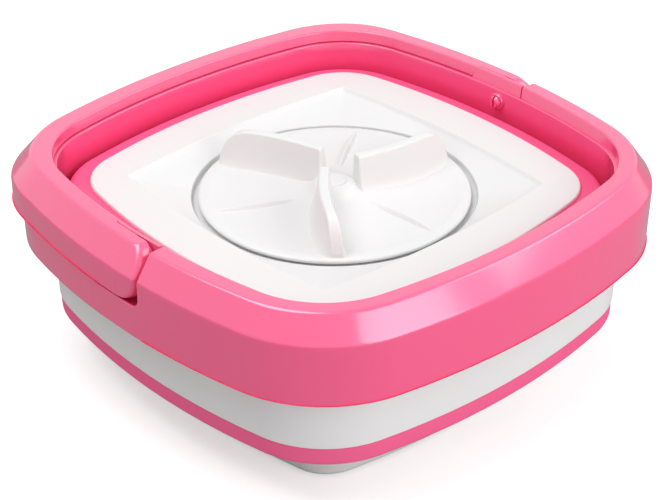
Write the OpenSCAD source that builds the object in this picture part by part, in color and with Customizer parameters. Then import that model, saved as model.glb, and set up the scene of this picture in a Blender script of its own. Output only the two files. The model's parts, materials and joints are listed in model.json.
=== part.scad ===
// Collapsible washing machine: a square tub that folds flat over its motor base, with a carrying
// handle laid round the rim. It is drawn folded, standing on its feet, with the handle along -X.
// Every ring of the tub follows one rounded outline. A point of a section is [inset, height],
// and its inset is measured inwards from the widest line of the rim.

/* [Outline] */
// Width of the rim across the middle of two opposite sides
rim_w = 310; // [300:1:330]
// Radius of the rim's four corners
corner_r = 74; // [70:1:80]
// Radius of the slightly bowed sides
side_r = 440; // [410:5:480]

/* [Rim] */
// Height of the rim from its skirt edge to its top
rim_h = 50.5; // [48:0.5:54]
// Height of the sloping band below the top
slope_h = 14; // [12:0.5:16]
// How far the sloping band leans in
slope_in = 10.15; // [8:0.05:12]
// Inset of the rim's inner edge
lip_in = 19.7; // [19.3:0.1:20.1]
// Wall of the rim
rim_t = 2.5; // [2:0.1:3]
// How far the skirt edge is drawn in
skirt_draft = 1.1; // [0.5:0.1:2]
// Depth of the inner edge down to the tub wall
lip_h = 7.4; // [6.8:0.1:8.4]

/* [Carrying handle] */
// Height of the handle's side
grip_h = 29.5; // [28:0.5:30]
// Wall of the handle
grip_t = 2.5; // [2:0.1:3]
// How far the handle stands proud in the middle of its side
grip_proud = 2.5; // [0:0.1:3.5]
// How far it stands proud at its two corners
grip_corner = 5; // [2:0.1:6]
// Radius of the rounded ends about the pivot
grip_end_r = 16.8; // [16:0.1:17.2]
// Depth of the pivot below the top of the rim
pivot_drop = 15; // [14.8:0.1:15.4]
// Radius of the pivot pins
pin_r = 3.5; // [3:0.1:4]
// Gap round a pin in its bore
pin_fit = 0.06; // [0.03:0.01:0.1]
// Gap between the handle and the recess wall behind it
grip_gap = 0.5; // [0.4:0.05:0.8]

/* [Tub wall] */
// Thickness of the tub wall
collar_t = 2.2; // [1.8:0.1:2.4]
// Depth of the tub wall below its ledge
collar_h = 40.6; // [39:0.2:41]
// Height of the white ring
ring_h = 52.3; // [50:0.1:56]
// Thickness of the white ring
ring_t = 2.4; // [2:0.1:2.6]
// Thickness of the soft folding walls
fold_t = 1.1; // [0.9:0.1:1.2]
// Height of the soft band below the white ring
band_h = 11.8; // [10:0.2:14]

/* [Wash floor] */
// Height of the wash floor above the ground
floor_z = 112.3; // [111:0.1:120]
// Height of the rim above the wash floor
rim_rise = 18.7; // [17.5:0.1:19.5]
// Inset of the floor's edge
border_in = 39.6; // [39:0.1:41]
// Thickness of the floor
floor_t = 2.2; // [2:0.1:2.6]
// Inset of the sunken field in the middle of a side
field_in = 59.5; // [58:0.5:62]
// Radius of the bowed sides of the sunken field
field_r = 326; // [300:2:360]
// Depth of the sunken field
field_d = 1.9; // [1:0.1:2.4]

/* [Pulsator] */
// Radius of the pulsator
pulsator_r = 78.5; // [74:0.5:80]
// Gap round the pulsator in its well
well_gap = 4; // [3:0.5:6.5]
// Height of the vanes above the wash floor
vane_rise = 14.7; // [10:0.1:16]
// Half thickness of a vane near its top
vane_t = 2.1; // [1.6:0.1:2.4]
// Number of tall vanes, with a low ridge between each two
vanes = 3; // [2:1:4]
// Radius of the drive shaft
shaft_r = 4; // [3.5:0.1:4.4]
// Running gap of the shaft in its bushes
shaft_fit = 0.04; // [0.02:0.01:0.08]

/* [Gear train] */
// Tooth module of all gears
gear_m = 1.25; // [1.15:0.05:1.3]
// Teeth of the output wheel
out_z = 56; // [52:2:58]
// Teeth of the small gear on the idler
idler_small_z = 14; // [14:1:16]
// Teeth of the large gear on the idler
idler_big_z = 48; // [44:2:50]
// Teeth of the motor pinion
pinion_z = 12; // [12:1:13]
// Face width of the output wheel
out_w = 8; // [6:0.5:8.5]
// Face width of the idler's large gear
idler_w = 6; // [5:0.5:6.5]
// Play between meshing teeth
backlash = 0.3; // [0.2:0.02:0.4]
// Radius of the motor
motor_r = 18; // [15:0.5:20]
// Length of the motor's can
motor_h = 38; // [34:0.5:40]

/* [Base] */
// Inset of the base's side at the ground
base_in = 49.8; // [48:0.1:51]
// Inset of the base's side below the floor
base_top_in = 41.4; // [41:0.1:42]
// Wall of the base
base_t = 2.4; // [2:0.1:2.8]
// Thickness of the bottom cover
cover_t = 3.2; // [3:0.1:4]
// Height of the feet below the cover
foot_h = 1.5; // [1:0.1:2]
// Radius of a foot
foot_r = 8; // [6:0.5:10]
// Height of the power button and the socket above the ground
button_z = 18.5; // [17:0.5:20]
// Radius of the power button
button_r = 7; // [5.5:0.1:7.5]
// Travel of the power button
button_travel = 1.5; // [1:0.1:1.8]
// Distance of the socket to the side of the button
socket_y = 27; // [25:0.5:30]

/* [Hidden] */
$fn = 48;
pink = [0.99, 0.42, 0.58];
soft_pink = [0.97, 0.40, 0.62];
white = [0.96, 0.96, 0.96];
dark = [0.16, 0.16, 0.18];
steel = [0.72, 0.73, 0.75];
nylon = [0.90, 0.88, 0.80];

// The outline: four bowed sides and four corner arcs that meet without a kink
side_n = 6;
corner_n = 8;
quarter_n = side_n + corner_n;
side_c = rim_w / 2 - side_r;
arc_gap = side_r - corner_r;
corner_c = (side_c + sqrt(2 * arc_gap * arc_gap - side_c * side_c)) / 2;
turn = atan2(corner_c, corner_c - side_c);

// A station is [centre x, centre y, radius, angle]
function side_st(q, a) = [side_c * cos(90 * q), side_c * sin(90 * q), side_r, 90 * q + a];
function corner_st(q, a) =
    let (c = cos(90 * q), s = sin(90 * q))
    [corner_c * (c - s), corner_c * (s + c), corner_r, 90 * q + a];
function quarter(q) = [
    for (k = [0 : side_n - 1]) side_st(q, turn * (2 * k / side_n - 1)),
    for (k = [0 : corner_n - 1]) corner_st(q, turn + (90 - 2 * turn) * k / corner_n)
];
loop = [for (q = [0 : 3]) for (s = quarter(q)) s];
function at(s, inset) = [
    s[0] + (s[2] - inset) * cos(s[3]),
    s[1] + (s[2] - inset) * sin(s[3])
];
function lift(p, z) = [p[0], p[1], z];
function section(s, profile) = [for (p = profile) lift(at(s, p[0]), p[1])];
function side_turn(x) = asin(x / side_r);

// Heights, all following from the wash floor
top_z = floor_z + rim_rise;
skirt_z = top_z - rim_h;
slope_z = top_z - slope_h;
ledge_z = top_z - lip_h;
collar_z = ledge_z - collar_h;
pivot_z = top_z - pivot_drop;
grip_z = top_z - grip_h;
end_drop = grip_end_r + 0.5;
recess_z = pivot_z - end_drop;
recess_t = 2.2;
recess_end = grip_end_r + 1.8;
well_r = pulsator_r + well_gap;

// Insets of the tub wall, from the rim's inner edge outwards and inwards
shelf_in = lip_in - 2.7;
back_in = shelf_in + 2.2;
grip_in = shelf_in - grip_gap;
collar_out = back_in + 0.4;
collar_in = collar_out + collar_t;
flange_t = 2.2;
ring_top_z = recess_z - recess_t - 1.5;
ring_z = ring_top_z - ring_h;
ring_in = shelf_in + 0.9;
ring_out_in = ring_in - ring_t;
band_z = ring_z - band_h;

// A solid through a row of sections, all with the same number of points; the first half of each
// section goes up the outer side and the second half comes down the inner side
module skin(sec, closed = true) {
    n = len(sec);
    m = len(sec[0]);
    sides = [
        for (i = [0 : (closed ? n : n - 1) - 1])
            for (j = [0 : m - 1])
                let (k = (i + 1) % n, l = (j + 1) % m)
                for (t = [[i * m + j, i * m + l, k * m + l], [i * m + j, k * m + l, k * m + j]])
                    t
    ];
    e = (n - 1) * m;
    caps = closed ? [] : [
        for (j = [0 : floor(m / 2) - 1])
            let (a = j, b = j + 1, c = m - 2 - j, d = m - 1 - j)
            for (t = b < c
                ? [[a, d, b], [b, d, c], [e + a, e + b, e + d], [e + b, e + c, e + d]]
                : b == c ? [[a, d, c], [e + a, e + c, e + d]] : [])
                t
    ];
    polyhedron(points = [for (s = sec) for (p = s) p], faces = concat(sides, caps), convexity = 8);
}

module ring(profile) {
    skin([for (s = loop) section(s, profile)]);
}
function backwards(list) = [for (k = [len(list) - 1 : -1 : 0]) list[k]];

// A flat plate with the outline at one inset
module plate(inset, z, h) {
    translate([0, 0, z])
        linear_extrude(h)
            polygon([for (s = loop) at(s, inset)]);
}

// A cylinder lying along X or along Y
module rod_x(r, x0, x1, y, z) {
    translate([x0, y, z])
        rotate([0, 90, 0])
            cylinder(r = r, h = x1 - x0);
}
module rod_y(r, y0, y1, x, z) {
    translate([x, y1, z])
        rotate([90, 0, 0])
            cylinder(r = r, h = y1 - y0);
}
module rod_z(r, z0, z1, p = [0, 0]) {
    translate([p[0], p[1], z0])
        cylinder(r = r, h = z1 - z0);
}
module tube_z(r, bore, z0, z1, p = [0, 0]) {
    difference() {
        rod_z(r, z0, z1, p);
        rod_z(bore, z0 - 1, z1 + 1, p);
    }
}

// Rim frame: a hollow band, recessed on the handle's side
rim_screw_in = 14.3;
rim_screws_at = [
    for (s = [side_st(0, 7.2), side_st(0, -7.2), side_st(1, -8), side_st(3, 8)])
        at(s, rim_screw_in)
];
lug_z = ledge_z - 0.1;
skirt_in = skirt_draft * (slope_z - recess_z - 1.6) / (slope_z - skirt_z);
hollow_in = skirt_draft * (slope_z - recess_z + recess_t) / (slope_z - skirt_z) + rim_t;
roof_z = top_z - rim_t;
bulk_z = recess_z - recess_t;
frame_full = [
    [skirt_draft, skirt_z],
    [skirt_in, recess_z + 1.6],
    [0, slope_z],
    [slope_in * 0.3, slope_z + slope_h * 0.3],
    [slope_in, top_z],
    [lip_in, top_z],
    [lip_in + 0.7, ledge_z],
    [lip_in - 1.8, ledge_z],
    [lip_in - rim_t, roof_z],
    [slope_in + 1.25, roof_z],
    [rim_t, slope_z - 0.9],
    [hollow_in, bulk_z],
    [skirt_draft + rim_t, skirt_z]
];
frame_bulkhead = [
    [skirt_draft, skirt_z],
    [skirt_in, recess_z + 1.6],
    [0, slope_z],
    [slope_in * 0.3, slope_z + slope_h * 0.3],
    [slope_in, top_z],
    [lip_in, top_z],
    [lip_in + 0.7, ledge_z],
    [back_in, ledge_z - flange_t],
    [back_in, bulk_z],
    [slope_in + 3, bulk_z],
    [slope_in - 3, bulk_z],
    [hollow_in, bulk_z],
    [skirt_draft + rim_t, skirt_z]
];
frame_recess = [
    [skirt_draft, skirt_z],
    [skirt_in, recess_z + 1.6],
    [skirt_in + 2, recess_z + 1.6],
    [skirt_in + 2.4, recess_z],
    [shelf_in, recess_z],
    [shelf_in, ledge_z - flange_t],
    [back_in, ledge_z - flange_t],
    [back_in, ledge_z - flange_t - 0.5],
    [back_in, bulk_z],
    [slope_in + 3, bulk_z],
    [slope_in - 3, bulk_z],
    [hollow_in, bulk_z],
    [skirt_draft + rim_t, skirt_z]
];
module rim_frame() {
    half = side_n / 2;
    e = [for (x = [recess_end, recess_end + 0.3, recess_end + 2.6, recess_end + 2.9]) side_turn(x)];
    full = [
        for (k = [1 : 2 * quarter_n - 1])
            loop[(3 * quarter_n + half + k) % (4 * quarter_n)]
    ];
    low = [for (k = [0 : 2 * quarter_n]) loop[quarter_n + half + k]];
    color(pink) difference() {
        union() {
            skin(concat(
                [for (s = full) section(s, frame_full)],
                [section(side_st(1, -e[3]), frame_full)],
                [section(side_st(1, -e[2]), frame_bulkhead)],
                [section(side_st(1, -e[1]), frame_bulkhead)],
                [section(side_st(1, -e[0]), frame_recess)],
                [for (s = low) section(s, frame_recess)],
                [section(side_st(3, e[0]), frame_recess)],
                [section(side_st(3, e[1]), frame_bulkhead)],
                [section(side_st(3, e[2]), frame_bulkhead)],
                [section(side_st(3, e[3]), frame_full)]
            ));
            for (p = rim_screws_at) rod_z(3.4, lug_z, roof_z + 1, p);
        }
        for (p = rim_screws_at) rod_z(1.35, lug_z - 1, roof_z - 0.6, p);
        for (s = [-1, 1])
            rod_y(
                pin_r + pin_fit,
                s * (rim_w / 2 - shelf_in) - 4,
                s * (rim_w / 2 - shelf_in) + 4,
                0,
                pivot_z
            );
    }
}

// Tub wall: the upper rigid ring that the rim sits on, with a short lip behind each handle end
nub_h = 1.9;
lip_r = norm([recess_end, pivot_drop]) + 0.3;
module pivot_lip(s) {
    lip = [
        [shelf_in + 0.3, ledge_z - 0.4],
        [shelf_in + 0.3, top_z],
        [lip_in, top_z],
        [lip_in + 0.7, ledge_z - 0.4]
    ];
    intersection() {
        skin([for (k = [-2 : 2]) section(side_st(s > 0 ? 1 : 3, side_turn(lip_r) * k / 2), lip)], false);
        rod_y(lip_r, -rim_w, rim_w, 0, pivot_z, $fn = 96);
        translate([-rim_w, -rim_w, 0])
            cube([rim_w + recess_end * (1 - (lip_in + 1) / side_r) - 0.15, 2 * rim_w, 2 * top_z]);
    }
}
module tub_collar() {
    wall_y = rim_w / 2 - collar_in;
    color(pink) pivot_lip(1);
    color(pink) pivot_lip(-1);
    color(pink) difference() {
        union() {
            ring([
                [collar_out + 0.4, collar_z],
                [collar_out, ledge_z - flange_t],
                [shelf_in, ledge_z - flange_t],
                [shelf_in, ledge_z],
                [collar_in - 0.5, ledge_z],
                [collar_in, ledge_z - 0.5],
                [collar_in + 0.4, collar_z]
            ]);
            for (p = rim_screws_at)
                rod_z(4.6, ledge_z - flange_t - 0.1, lug_z, p);
            rod_y(5.25, wall_y - nub_h, wall_y + 1.2, 0, pivot_z);
            rod_y(5.25, -wall_y - 1.2, -wall_y + nub_h, 0, pivot_z);
        }
        for (p = rim_screws_at)
            rod_z(1.6, collar_z, top_z, p);
        for (s = [-1, 1])
            translate([recess_end - 2, s * (rim_w / 2 - back_in + 5.3) - 6.8, ledge_z - flange_t - 1])
                cube([5.6, 13.6, flange_t + 2]);
        rod_y(pin_r + pin_fit, -wall_y - 8, -wall_y + 8, 0, pivot_z);
        rod_y(pin_r + pin_fit, wall_y - 8, wall_y + 8, 0, pivot_z);
    }
}

module rim_screws() {
    color(steel)
        for (p = rim_screws_at) {
            rod_z(1.3, ledge_z - flange_t - 0.2, roof_z - 1, p);
            rod_z(2.7, ledge_z - flange_t - 2.1, ledge_z - flange_t - 0.1, p);
        }
}

// Carrying handle: a channel that lies in the rim's recess and turns on two snap pins
function swell(s) =
    let (a = abs(s[3] - 180), b = turn, c = 90 - turn)
    a < b ? grip_proud + (grip_corner - grip_proud) * pow(sin(45 * a / b), 2)
          : a < 45 ? grip_proud + (grip_corner - grip_proud) * (0.5 + 0.5 * sin(90 * (a - b) / (45 - b)))
          : a < c ? grip_corner * (0.5 + 0.5 * cos(150 * (a - 45) / (c - 45)))
          : grip_corner * 0.067 * max(0, 1 - (a - c) / (turn * 0.6));
function grip_profile(out, lip, wall = grip_in) = [
    [-out, grip_z + 0.9],
    [-out, slope_z],
    [slope_in - out * 0.6, top_z],
    [lip, top_z],
    [lip, ledge_z + 0.6],
    [wall, ledge_z + 0.5],
    [wall, grip_z],
    [wall - grip_t, grip_z],
    [wall - grip_t, top_z - grip_t],
    [slope_in + 1.2 - out * 0.6, top_z - grip_t],
    [grip_t - out, slope_z - 0.9],
    [grip_t - out - 0.05, grip_z + 0.9]
];
lip_cut = lip_r + 0.4;
lip_end = sqrt(lip_cut * lip_cut - pivot_drop * pivot_drop);
end_step = 0.12;
module grip_end(s) {
    y0 = rim_w / 2 - grip_in;
    reach = grip_end_r + 4;
    q = s > 0 ? 1 : 3;
    a = [for (k = [-2 : 2]) side_turn(reach) * k / 2];
    solid = [
        [end_step, grip_z - end_step],
        [end_step, slope_z],
        [slope_in + end_step, top_z - end_step],
        [grip_in - end_step, top_z - end_step],
        [grip_in - end_step, top_z - grip_h / 2],
        [grip_in - end_step, grip_z - end_step]
    ];
    intersection() {
        skin([for (t = a) section(side_st(q, t), solid)], false);
        translate([0, 0, pivot_z])
            rotate([s > 0 ? -90 : 90, 0, 0])
                rotate_extrude($fn = 96)
                    polygon([
                        [0, y0 - 2],
                        [grip_end_r, y0 - 2],
                        [grip_end_r, y0 + 9],
                        [grip_end_r - 0.6, y0 + 12],
                        [grip_end_r - 1.8, y0 + 14.6],
                        [grip_end_r - 3.2, y0 + 16.5],
                        [0, y0 + 17.5]
                    ]);
    }
    difference() {
        union() {
            rod_y(pin_r, s > 0 ? y0 - 9.6 : -y0 - 1, s > 0 ? y0 + 1 : -y0 + 9.6, 0, pivot_z);
            translate([0, s * (y0 - 9.6), pivot_z])
                rotate([s > 0 ? -90 : 90, 0, 0])
                    cylinder(r1 = pin_r - 0.6, r2 = pin_r + 0.5, h = 2);
        }
        translate([-0.75, s > 0 ? y0 - 10 : -y0 + 4.6, pivot_z - 6])
            cube([1.5, 5.4, 12]);
    }
}
module handle() {
    e = [for (x = [0.7, 1.5, lip_end, lip_end + 0.2]) side_turn(x)];
    half = side_n / 2;
    mid = [for (k = [1 : 2 * quarter_n - 1]) loop[quarter_n + half + k]];
    color(pink) union() {
        difference() {
            skin(concat(
                [section(side_st(1, e[0]), grip_profile(0, grip_in - 0.35, grip_in - 0.6))],
                [section(side_st(1, e[1]), grip_profile(0, grip_in + 0.3))],
                [section(side_st(1, e[2]), grip_profile(0, grip_in + 0.3))],
                [section(side_st(1, e[3]), grip_profile(0, lip_in))],
                [for (s = mid) section(s, grip_profile(swell(s), lip_in))],
                [section(side_st(3, -e[3]), grip_profile(0, lip_in))],
                [section(side_st(3, -e[2]), grip_profile(0, grip_in + 0.3))],
                [section(side_st(3, -e[1]), grip_profile(0, grip_in + 0.3))],
                [section(side_st(3, -e[0]), grip_profile(0, grip_in - 0.35, grip_in - 0.6))]
            ), false);
            rod_y(lip_cut, grip_in - rim_w / 2 + 0.7, rim_w / 2 - grip_in - 0.7, 0, pivot_z, $fn = 96);
        }
        grip_end(1);
        grip_end(-1);
    }
}

// White ring between the two soft folds
module middle_ring() {
    step_z = collar_z - 8;
    color(white) ring([
        [ring_out_in + 1.7, ring_z],
        [ring_out_in, ring_top_z - 0.8],
        [ring_out_in + 0.4, ring_top_z],
        [ring_in, ring_top_z],
        [ring_in, step_z],
        [ring_in + 1.4, step_z - 6],
        [ring_in + 1.7, ring_z]
    ]);
}

// Upper soft fold: from the tub wall down, round and up over the top of the white ring
module upper_fold() {
    o = ring_in + 0.25;
    i = o + fold_t;
    low = collar_z - 6.8;
    b = collar_in + 0.3;
    color(soft_pink) ring(backwards([
        [ring_out_in + 0.3, ring_top_z],
        [o, ring_top_z],
        [o, low + 2],
        [o + 0.5, low + 0.5],
        [(o + b) / 2, low],
        [b - 0.5, low + 0.6],
        [b, low + 2.2],
        [b, collar_z],
        [b - fold_t, collar_z],
        [b - fold_t, low + 2.2],
        [(i + b - fold_t) / 2, low + fold_t],
        [i, low + 2.4],
        [i, ring_top_z + 0.9],
        [ring_out_in + 0.3, ring_top_z + 0.9]
    ]));
}

// Lower soft fold: from the white ring down round its bend and up to the edge of the wash floor
clamp_z = floor_z - floor_t - 1.8;
module lower_fold() {
    o = ring_in;
    t = fold_t + 0.6;
    bend = o + 5.3;
    k = border_in - 12.9;
    color(soft_pink) ring(backwards([
        [o, ring_z],
        [o, band_z + 2.7],
        [o + 0.8, band_z + 0.8],
        [o + 2.7, band_z],
        [bend + 0.3, band_z + 0.6],
        [bend + t, band_z + 3],
        [k + t, clamp_z - 6],
        [k + t + 2.4, clamp_z - 2.4],
        [border_in + 0.6, clamp_z],
        [border_in + 4.4, clamp_z],
        [border_in + 4.4, clamp_z + 1.8],
        [border_in + 0.2, clamp_z + 1.8],
        [k + 1.9, clamp_z - 1.3],
        [k + 0.3, clamp_z - 2.6],
        [k, clamp_z - 5],
        [bend, band_z + 3.6],
        [o + 3.7, band_z + t + 0.4],
        [o + 2.8, band_z + t + 0.2],
        [o + t, band_z + 3.4],
        [o + t, ring_z]
    ]));
}

// Wash floor: a plate with a sunken field, a round well and the shaft's housing below it
field_c = rim_w / 2 - field_in - field_r;
function field_at(s, d) =
    let (p = at(s, border_in), f = atan2(p[1], p[0]), g = f - 90 * round(f / 90))
    let (r = field_c * cos(g) + sqrt(pow(field_r - d, 2) - pow(field_c * sin(g), 2)))
    [r * cos(f), r * sin(f)];
function round_at(s, r) =
    let (p = at(s, border_in), f = atan2(p[1], p[0]))
    [r * cos(f), r * sin(f)];
well_z = floor_z - 11.7;
boss_z = floor_z - 28.3;
seal_r = shaft_r + 7;
bush_r = shaft_r + 4;
pillar_in = 58;
pillars = [for (q = [0 : 3]) at(corner_st(q, 45), pillar_in)];
pillar_z = floor_z - 14.3;
module tub_floor() {
    rim = border_in + 4.8;
    color(white) difference() {
        union() {
            skin([for (s = loop) [
                lift(at(s, border_in), floor_z - floor_t),
                lift(at(s, border_in), floor_z - 0.8),
                lift(at(s, border_in + 0.8), floor_z),
                lift(field_at(s, 0), floor_z),
                lift(field_at(s, 0.8), floor_z - field_d),
                lift(round_at(s, well_r + 0.7), floor_z - field_d - 3.2),
                lift(round_at(s, well_r + 0.7), floor_z - field_d - 5.6),
                lift(field_at(s, 1.4), floor_z - field_d - floor_t - 0.4),
                lift(at(s, rim + 2.2), floor_z - floor_t - 1.9),
                lift(at(s, rim + 1.8), clamp_z - 4),
                lift(at(s, rim), clamp_z - 4),
                lift(at(s, rim), floor_z - floor_t)
            ]]);
            rotate_extrude($fn = 96)
                polygon([
                    [well_r, floor_z - field_d - 3.7],
                    [well_r + 3, floor_z - field_d - 3.7],
                    [well_r + 3, well_z - 2.6],
                    [seal_r + 5, well_z - 3],
                    [seal_r + 5, boss_z],
                    [bush_r, boss_z],
                    [bush_r, boss_z + 8],
                    [seal_r, boss_z + 8],
                    [seal_r, well_z - 0.2],
                    [well_r, well_z]
                ]);
            for (p = pillars) rod_z(5, pillar_z, floor_z - field_d - 0.6, p);
            for (p = ears) rod_z(4.5, boss_z, well_z - 1, p);
        }
        for (p = pillars) rod_z(1.95, pillar_z - 1, floor_z - 5, p);
        for (p = ears) rod_z(1.55, boss_z - 1, well_z - 3.6, p);
    }
}

// Base housing with its screw pillars, button bore and socket bore
base_z = foot_h;
cover_z = base_z + cover_t;
function base_inset(z) = base_in + (base_top_in - base_in) * (z - base_z) / (clamp_z - base_z);
side_x = rim_w / 2 - base_inset(button_z);
pad_x = side_x + 1.3;
board_x = side_x - 18.6;
board_t = 1.6;
board_h = 26;
board_drop = 12;
board_over = 5;
switch_h = 5.5;
post_bite = 12;
screw_bite = 10;
posts_y = [-18, socket_y + 14];
module base_housing() {
    color(white) difference() {
        union() {
            ring([
                [base_in + 1.4, base_z],
                [base_in, base_z + 1.4],
                [base_top_in, clamp_z - 3],
                [base_top_in, clamp_z],
                [base_top_in + base_t, clamp_z],
                [base_in + base_t, base_z + 1.4],
                [base_in + base_t, base_z]
            ]);
            for (q = [0 : 3]) {
                rod_z(5.6, cover_z, pillar_z, pillars[q]);
                rotate([0, 0, 90 * q + 45])
                    rotate([90, 0, 0])
                        translate([0, 0, -1.2])
                            linear_extrude(2.4)
                                polygon([
                                    [norm(pillars[0]) + 3, cover_z],
                                    [norm(pillars[0]) + pillar_in - base_in - 1.2, cover_z],
                                    [norm(pillars[0]) + pillar_in - base_inset(pillar_z) - 1.2, pillar_z],
                                    [norm(pillars[0]) + 3, pillar_z]
                                ]);
            }
            rod_x(button_r + 4, side_x - 7.6, pad_x, 0, button_z);
            rod_x(8.2, side_x - 6, pad_x, socket_y, button_z);
            for (y = posts_y) rod_x(3.2, board_x + board_t, side_x - 2.6, y, button_z);
        }
        for (p = pillars) rod_z(2.2, cover_z - 1, pillar_z + 1, p);
        rod_x(button_r + 0.3, side_x - 9, pad_x + 1, 0, button_z);
        rod_x(button_r + 2.4, side_x - 9, side_x - 5, 0, button_z);
        rod_x(4.1, side_x - 9, pad_x + 1, socket_y, button_z);
        for (y = posts_y) rod_x(1.1, board_x, board_x + post_bite, y, button_z);
    }
}

module bottom_cover() {
    color(white) difference() {
        plate(base_in + base_t + 0.25, base_z, cover_t);
        for (p = pillars) {
            rod_z(2.1, base_z - 1, cover_z + 1, p);
            rod_z(4.2, base_z - 1, base_z + 2, p);
        }
        for (p = feet) rod_z(foot_r + 0.1, base_z - 1, base_z + 1, p);
    }
}
module case_screws() {
    color(steel)
        for (p = pillars) {
            rod_z(1.9, base_z + 1.9, floor_z - 6.5, p);
            rod_z(3.8, base_z + 0.2, base_z + 2, p);
        }
}
foot_in = 84;
feet = [for (q = [0 : 3]) at(corner_st(q, 45), foot_in)];
module rubber_feet() {
    color(dark) for (p = feet) rod_z(foot_r, 0, base_z + 1, p);
}

// Power button, its seal, the socket and the board behind them
module power_button() {
    color(pink) union() {
        rod_x(button_r, side_x - 6.6, pad_x + 1.7, 0, button_z);
        rod_x(button_r + 1.6, side_x - 8, side_x - 6.6, 0, button_z);
        rod_x(2, board_x + board_t + switch_h + button_travel + 0.2, side_x - 7, 0, button_z);
    }
}
module button_seal() {
    color(dark) difference() {
        rod_x(button_r + 2.35, side_x - 6.5, side_x - 5, 0, button_z);
        rod_x(button_r + 0.06, side_x - 9, side_x, 0, button_z);
    }
}
module dc_socket() {
    color(dark) union() {
        difference() {
            union() {
                rod_x(4, board_x + board_t, pad_x + 0.1, socket_y, button_z);
                rod_x(6.2, pad_x, pad_x + 1.2, socket_y, button_z);
            }
            rod_x(2.8, pad_x - 10, pad_x + 2, socket_y, button_z);
        }
        rod_x(0.9, pad_x - 11, pad_x - 1, socket_y, button_z);
    }
}
module control_board() {
    color([0.10, 0.42, 0.24]) difference() {
        translate([board_x, posts_y[0] - board_over, button_z - board_drop])
            cube([board_t, posts_y[1] - posts_y[0] + 2 * board_over, board_h]);
        for (y = posts_y) rod_x(1.3, board_x - 1, board_x + 3, y, button_z);
    }
}
module board_screws() {
    color(steel) for (y = posts_y) {
        rod_x(1.05, board_x - 0.5, board_x + screw_bite, y, button_z);
        rod_x(2.2, board_x - 1.6, board_x, y, button_z);
    }
}
module tact_switch() {
    color(dark) {
        translate([board_x + board_t, -3, button_z - 3])
            cube([switch_h - 1.5, 6, 6]);
        rod_x(1.7, board_x + board_t + switch_h - 1.6, board_x + board_t + switch_h, 0, button_z);
    }
}

// Gear train: motor pinion, idler and output wheel in one closed case below the floor
train_a = 215;
motor_a = 335;
function polar(r, a) = [r * cos(a), r * sin(a)];
idler_p = polar(gear_m * (out_z + idler_small_z) / 2, train_a);
motor_p = idler_p + polar(gear_m * (idler_big_z + pinion_z) / 2, motor_a);
case_t = 2.2;
case_floor = 2.5;
head_h = 1.2;
head_gap = 1.3;
gear_step = 2;
gear_gap = 3;
case_h = case_floor + head_h + head_gap + idler_w + gear_step + out_w + gear_gap;
lid_t = 3;
ear_r = 5.4;
ear_h = 6;
ear_head_h = 2.2;
bush_h = 6;
rotor_gap = 8;
lid_z = boss_z - lid_t;
case_z = lid_z - case_h;
out_case_r = gear_m * (out_z + 2) / 2 + 1.2 + case_t;
idler_case_r = gear_m * (idler_big_z + 2) / 2 + 1.2 + case_t;
pinion_case_r = gear_m * (pinion_z + 2) / 2 + 1.6 + case_t;
motor_screws_at = [for (a = [45, 225]) motor_p + polar(pinion_case_r - case_t - 2.9, a)];
ears = [
    polar(out_case_r + 4.4, 20),
    polar(out_case_r + 4.4, 110),
    idler_p + polar(idler_case_r + 4.4, 180),
    idler_p + polar(idler_case_r + 4.4, 270)
];
out_gear_z = lid_z - gear_gap - out_w;
idler_gear_z = out_gear_z - gear_step - idler_w;

function inv(a) = tan(a) * 180 / PI - a;
// Half the angle that a tooth takes up at a radius
function tooth_half(z, r) =
    let (rp = gear_m * z / 2, rb = rp * cos(20))
    90 / z - backlash / 2 / rp * 90 / PI + inv(20) - inv(acos(min(1, rb / max(r, rb))));
module gear_2d(z, add) {
    rp = gear_m * z / 2;
    rb = rp * cos(20);
    rf = rp - 1.25 * gear_m;
    ra = rp + add * gear_m;
    r1 = max(rb, rf + 0.1);
    flank = [for (k = [0 : 3]) r1 + (ra - r1) * k / 3];
    foot = tooth_half(z, r1) * (rb > rf ? 0.82 : 1);
    polygon([
        for (t = [0 : z - 1])
            let (a = 360 * t / z)
            for (p = concat(
                [polar(rf, a - foot)],
                [for (r = flank) polar(r, a - tooth_half(z, r))],
                [for (k = [3 : -1 : 0]) polar(flank[k], a + tooth_half(z, flank[k]))],
                [polar(rf, a + foot)]
            ))
                p
    ]);
}
module output_gear() {
    color(nylon) difference() {
        union() {
            translate([0, 0, out_gear_z])
                linear_extrude(out_w)
                    rotate(train_a)
                        gear_2d(out_z, 0.8);
            rod_z(shaft_r + 4, case_z + bush_h + 0.2, lid_z - 0.2);
        }
        rod_z(shaft_r + 0.02, case_z, lid_z + 1);
        for (a = [0 : 60 : 300])
            rod_z(6, out_gear_z - 1, out_gear_z + out_w + 1, polar(shaft_r + 17, a));
    }
}
module idler_gear() {
    color(nylon) difference() {
        union() {
            translate([idler_p[0], idler_p[1], idler_gear_z])
                linear_extrude(idler_w)
                    rotate(motor_a)
                        gear_2d(idler_big_z, 0.8);
            translate([idler_p[0], idler_p[1], idler_gear_z + idler_w - 0.5])
                linear_extrude(out_w + 2.5)
                    rotate(train_a + 180 + 180 / idler_small_z)
                        gear_2d(idler_small_z, 0.9);
        }
        rod_z(2.54, case_z, lid_z, idler_p);
    }
}
module idler_pin() {
    color(steel) rod_z(2.5, case_z + 1, lid_z + lid_t - 1, idler_p);
}
module motor_pinion() {
    color([0.78, 0.62, 0.30]) difference() {
        translate([motor_p[0], motor_p[1], idler_gear_z])
            linear_extrude(idler_w)
                rotate(motor_a + 180 + 180 / pinion_z)
                    gear_2d(pinion_z, 0.9);
        rod_z(1.62, case_z, lid_z, motor_p);
    }
}
module case_outline(grow) {
    circle(r = out_case_r + grow);
    translate(idler_p) circle(r = idler_case_r + grow);
    translate(motor_p) circle(r = pinion_case_r + grow);
}
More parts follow.
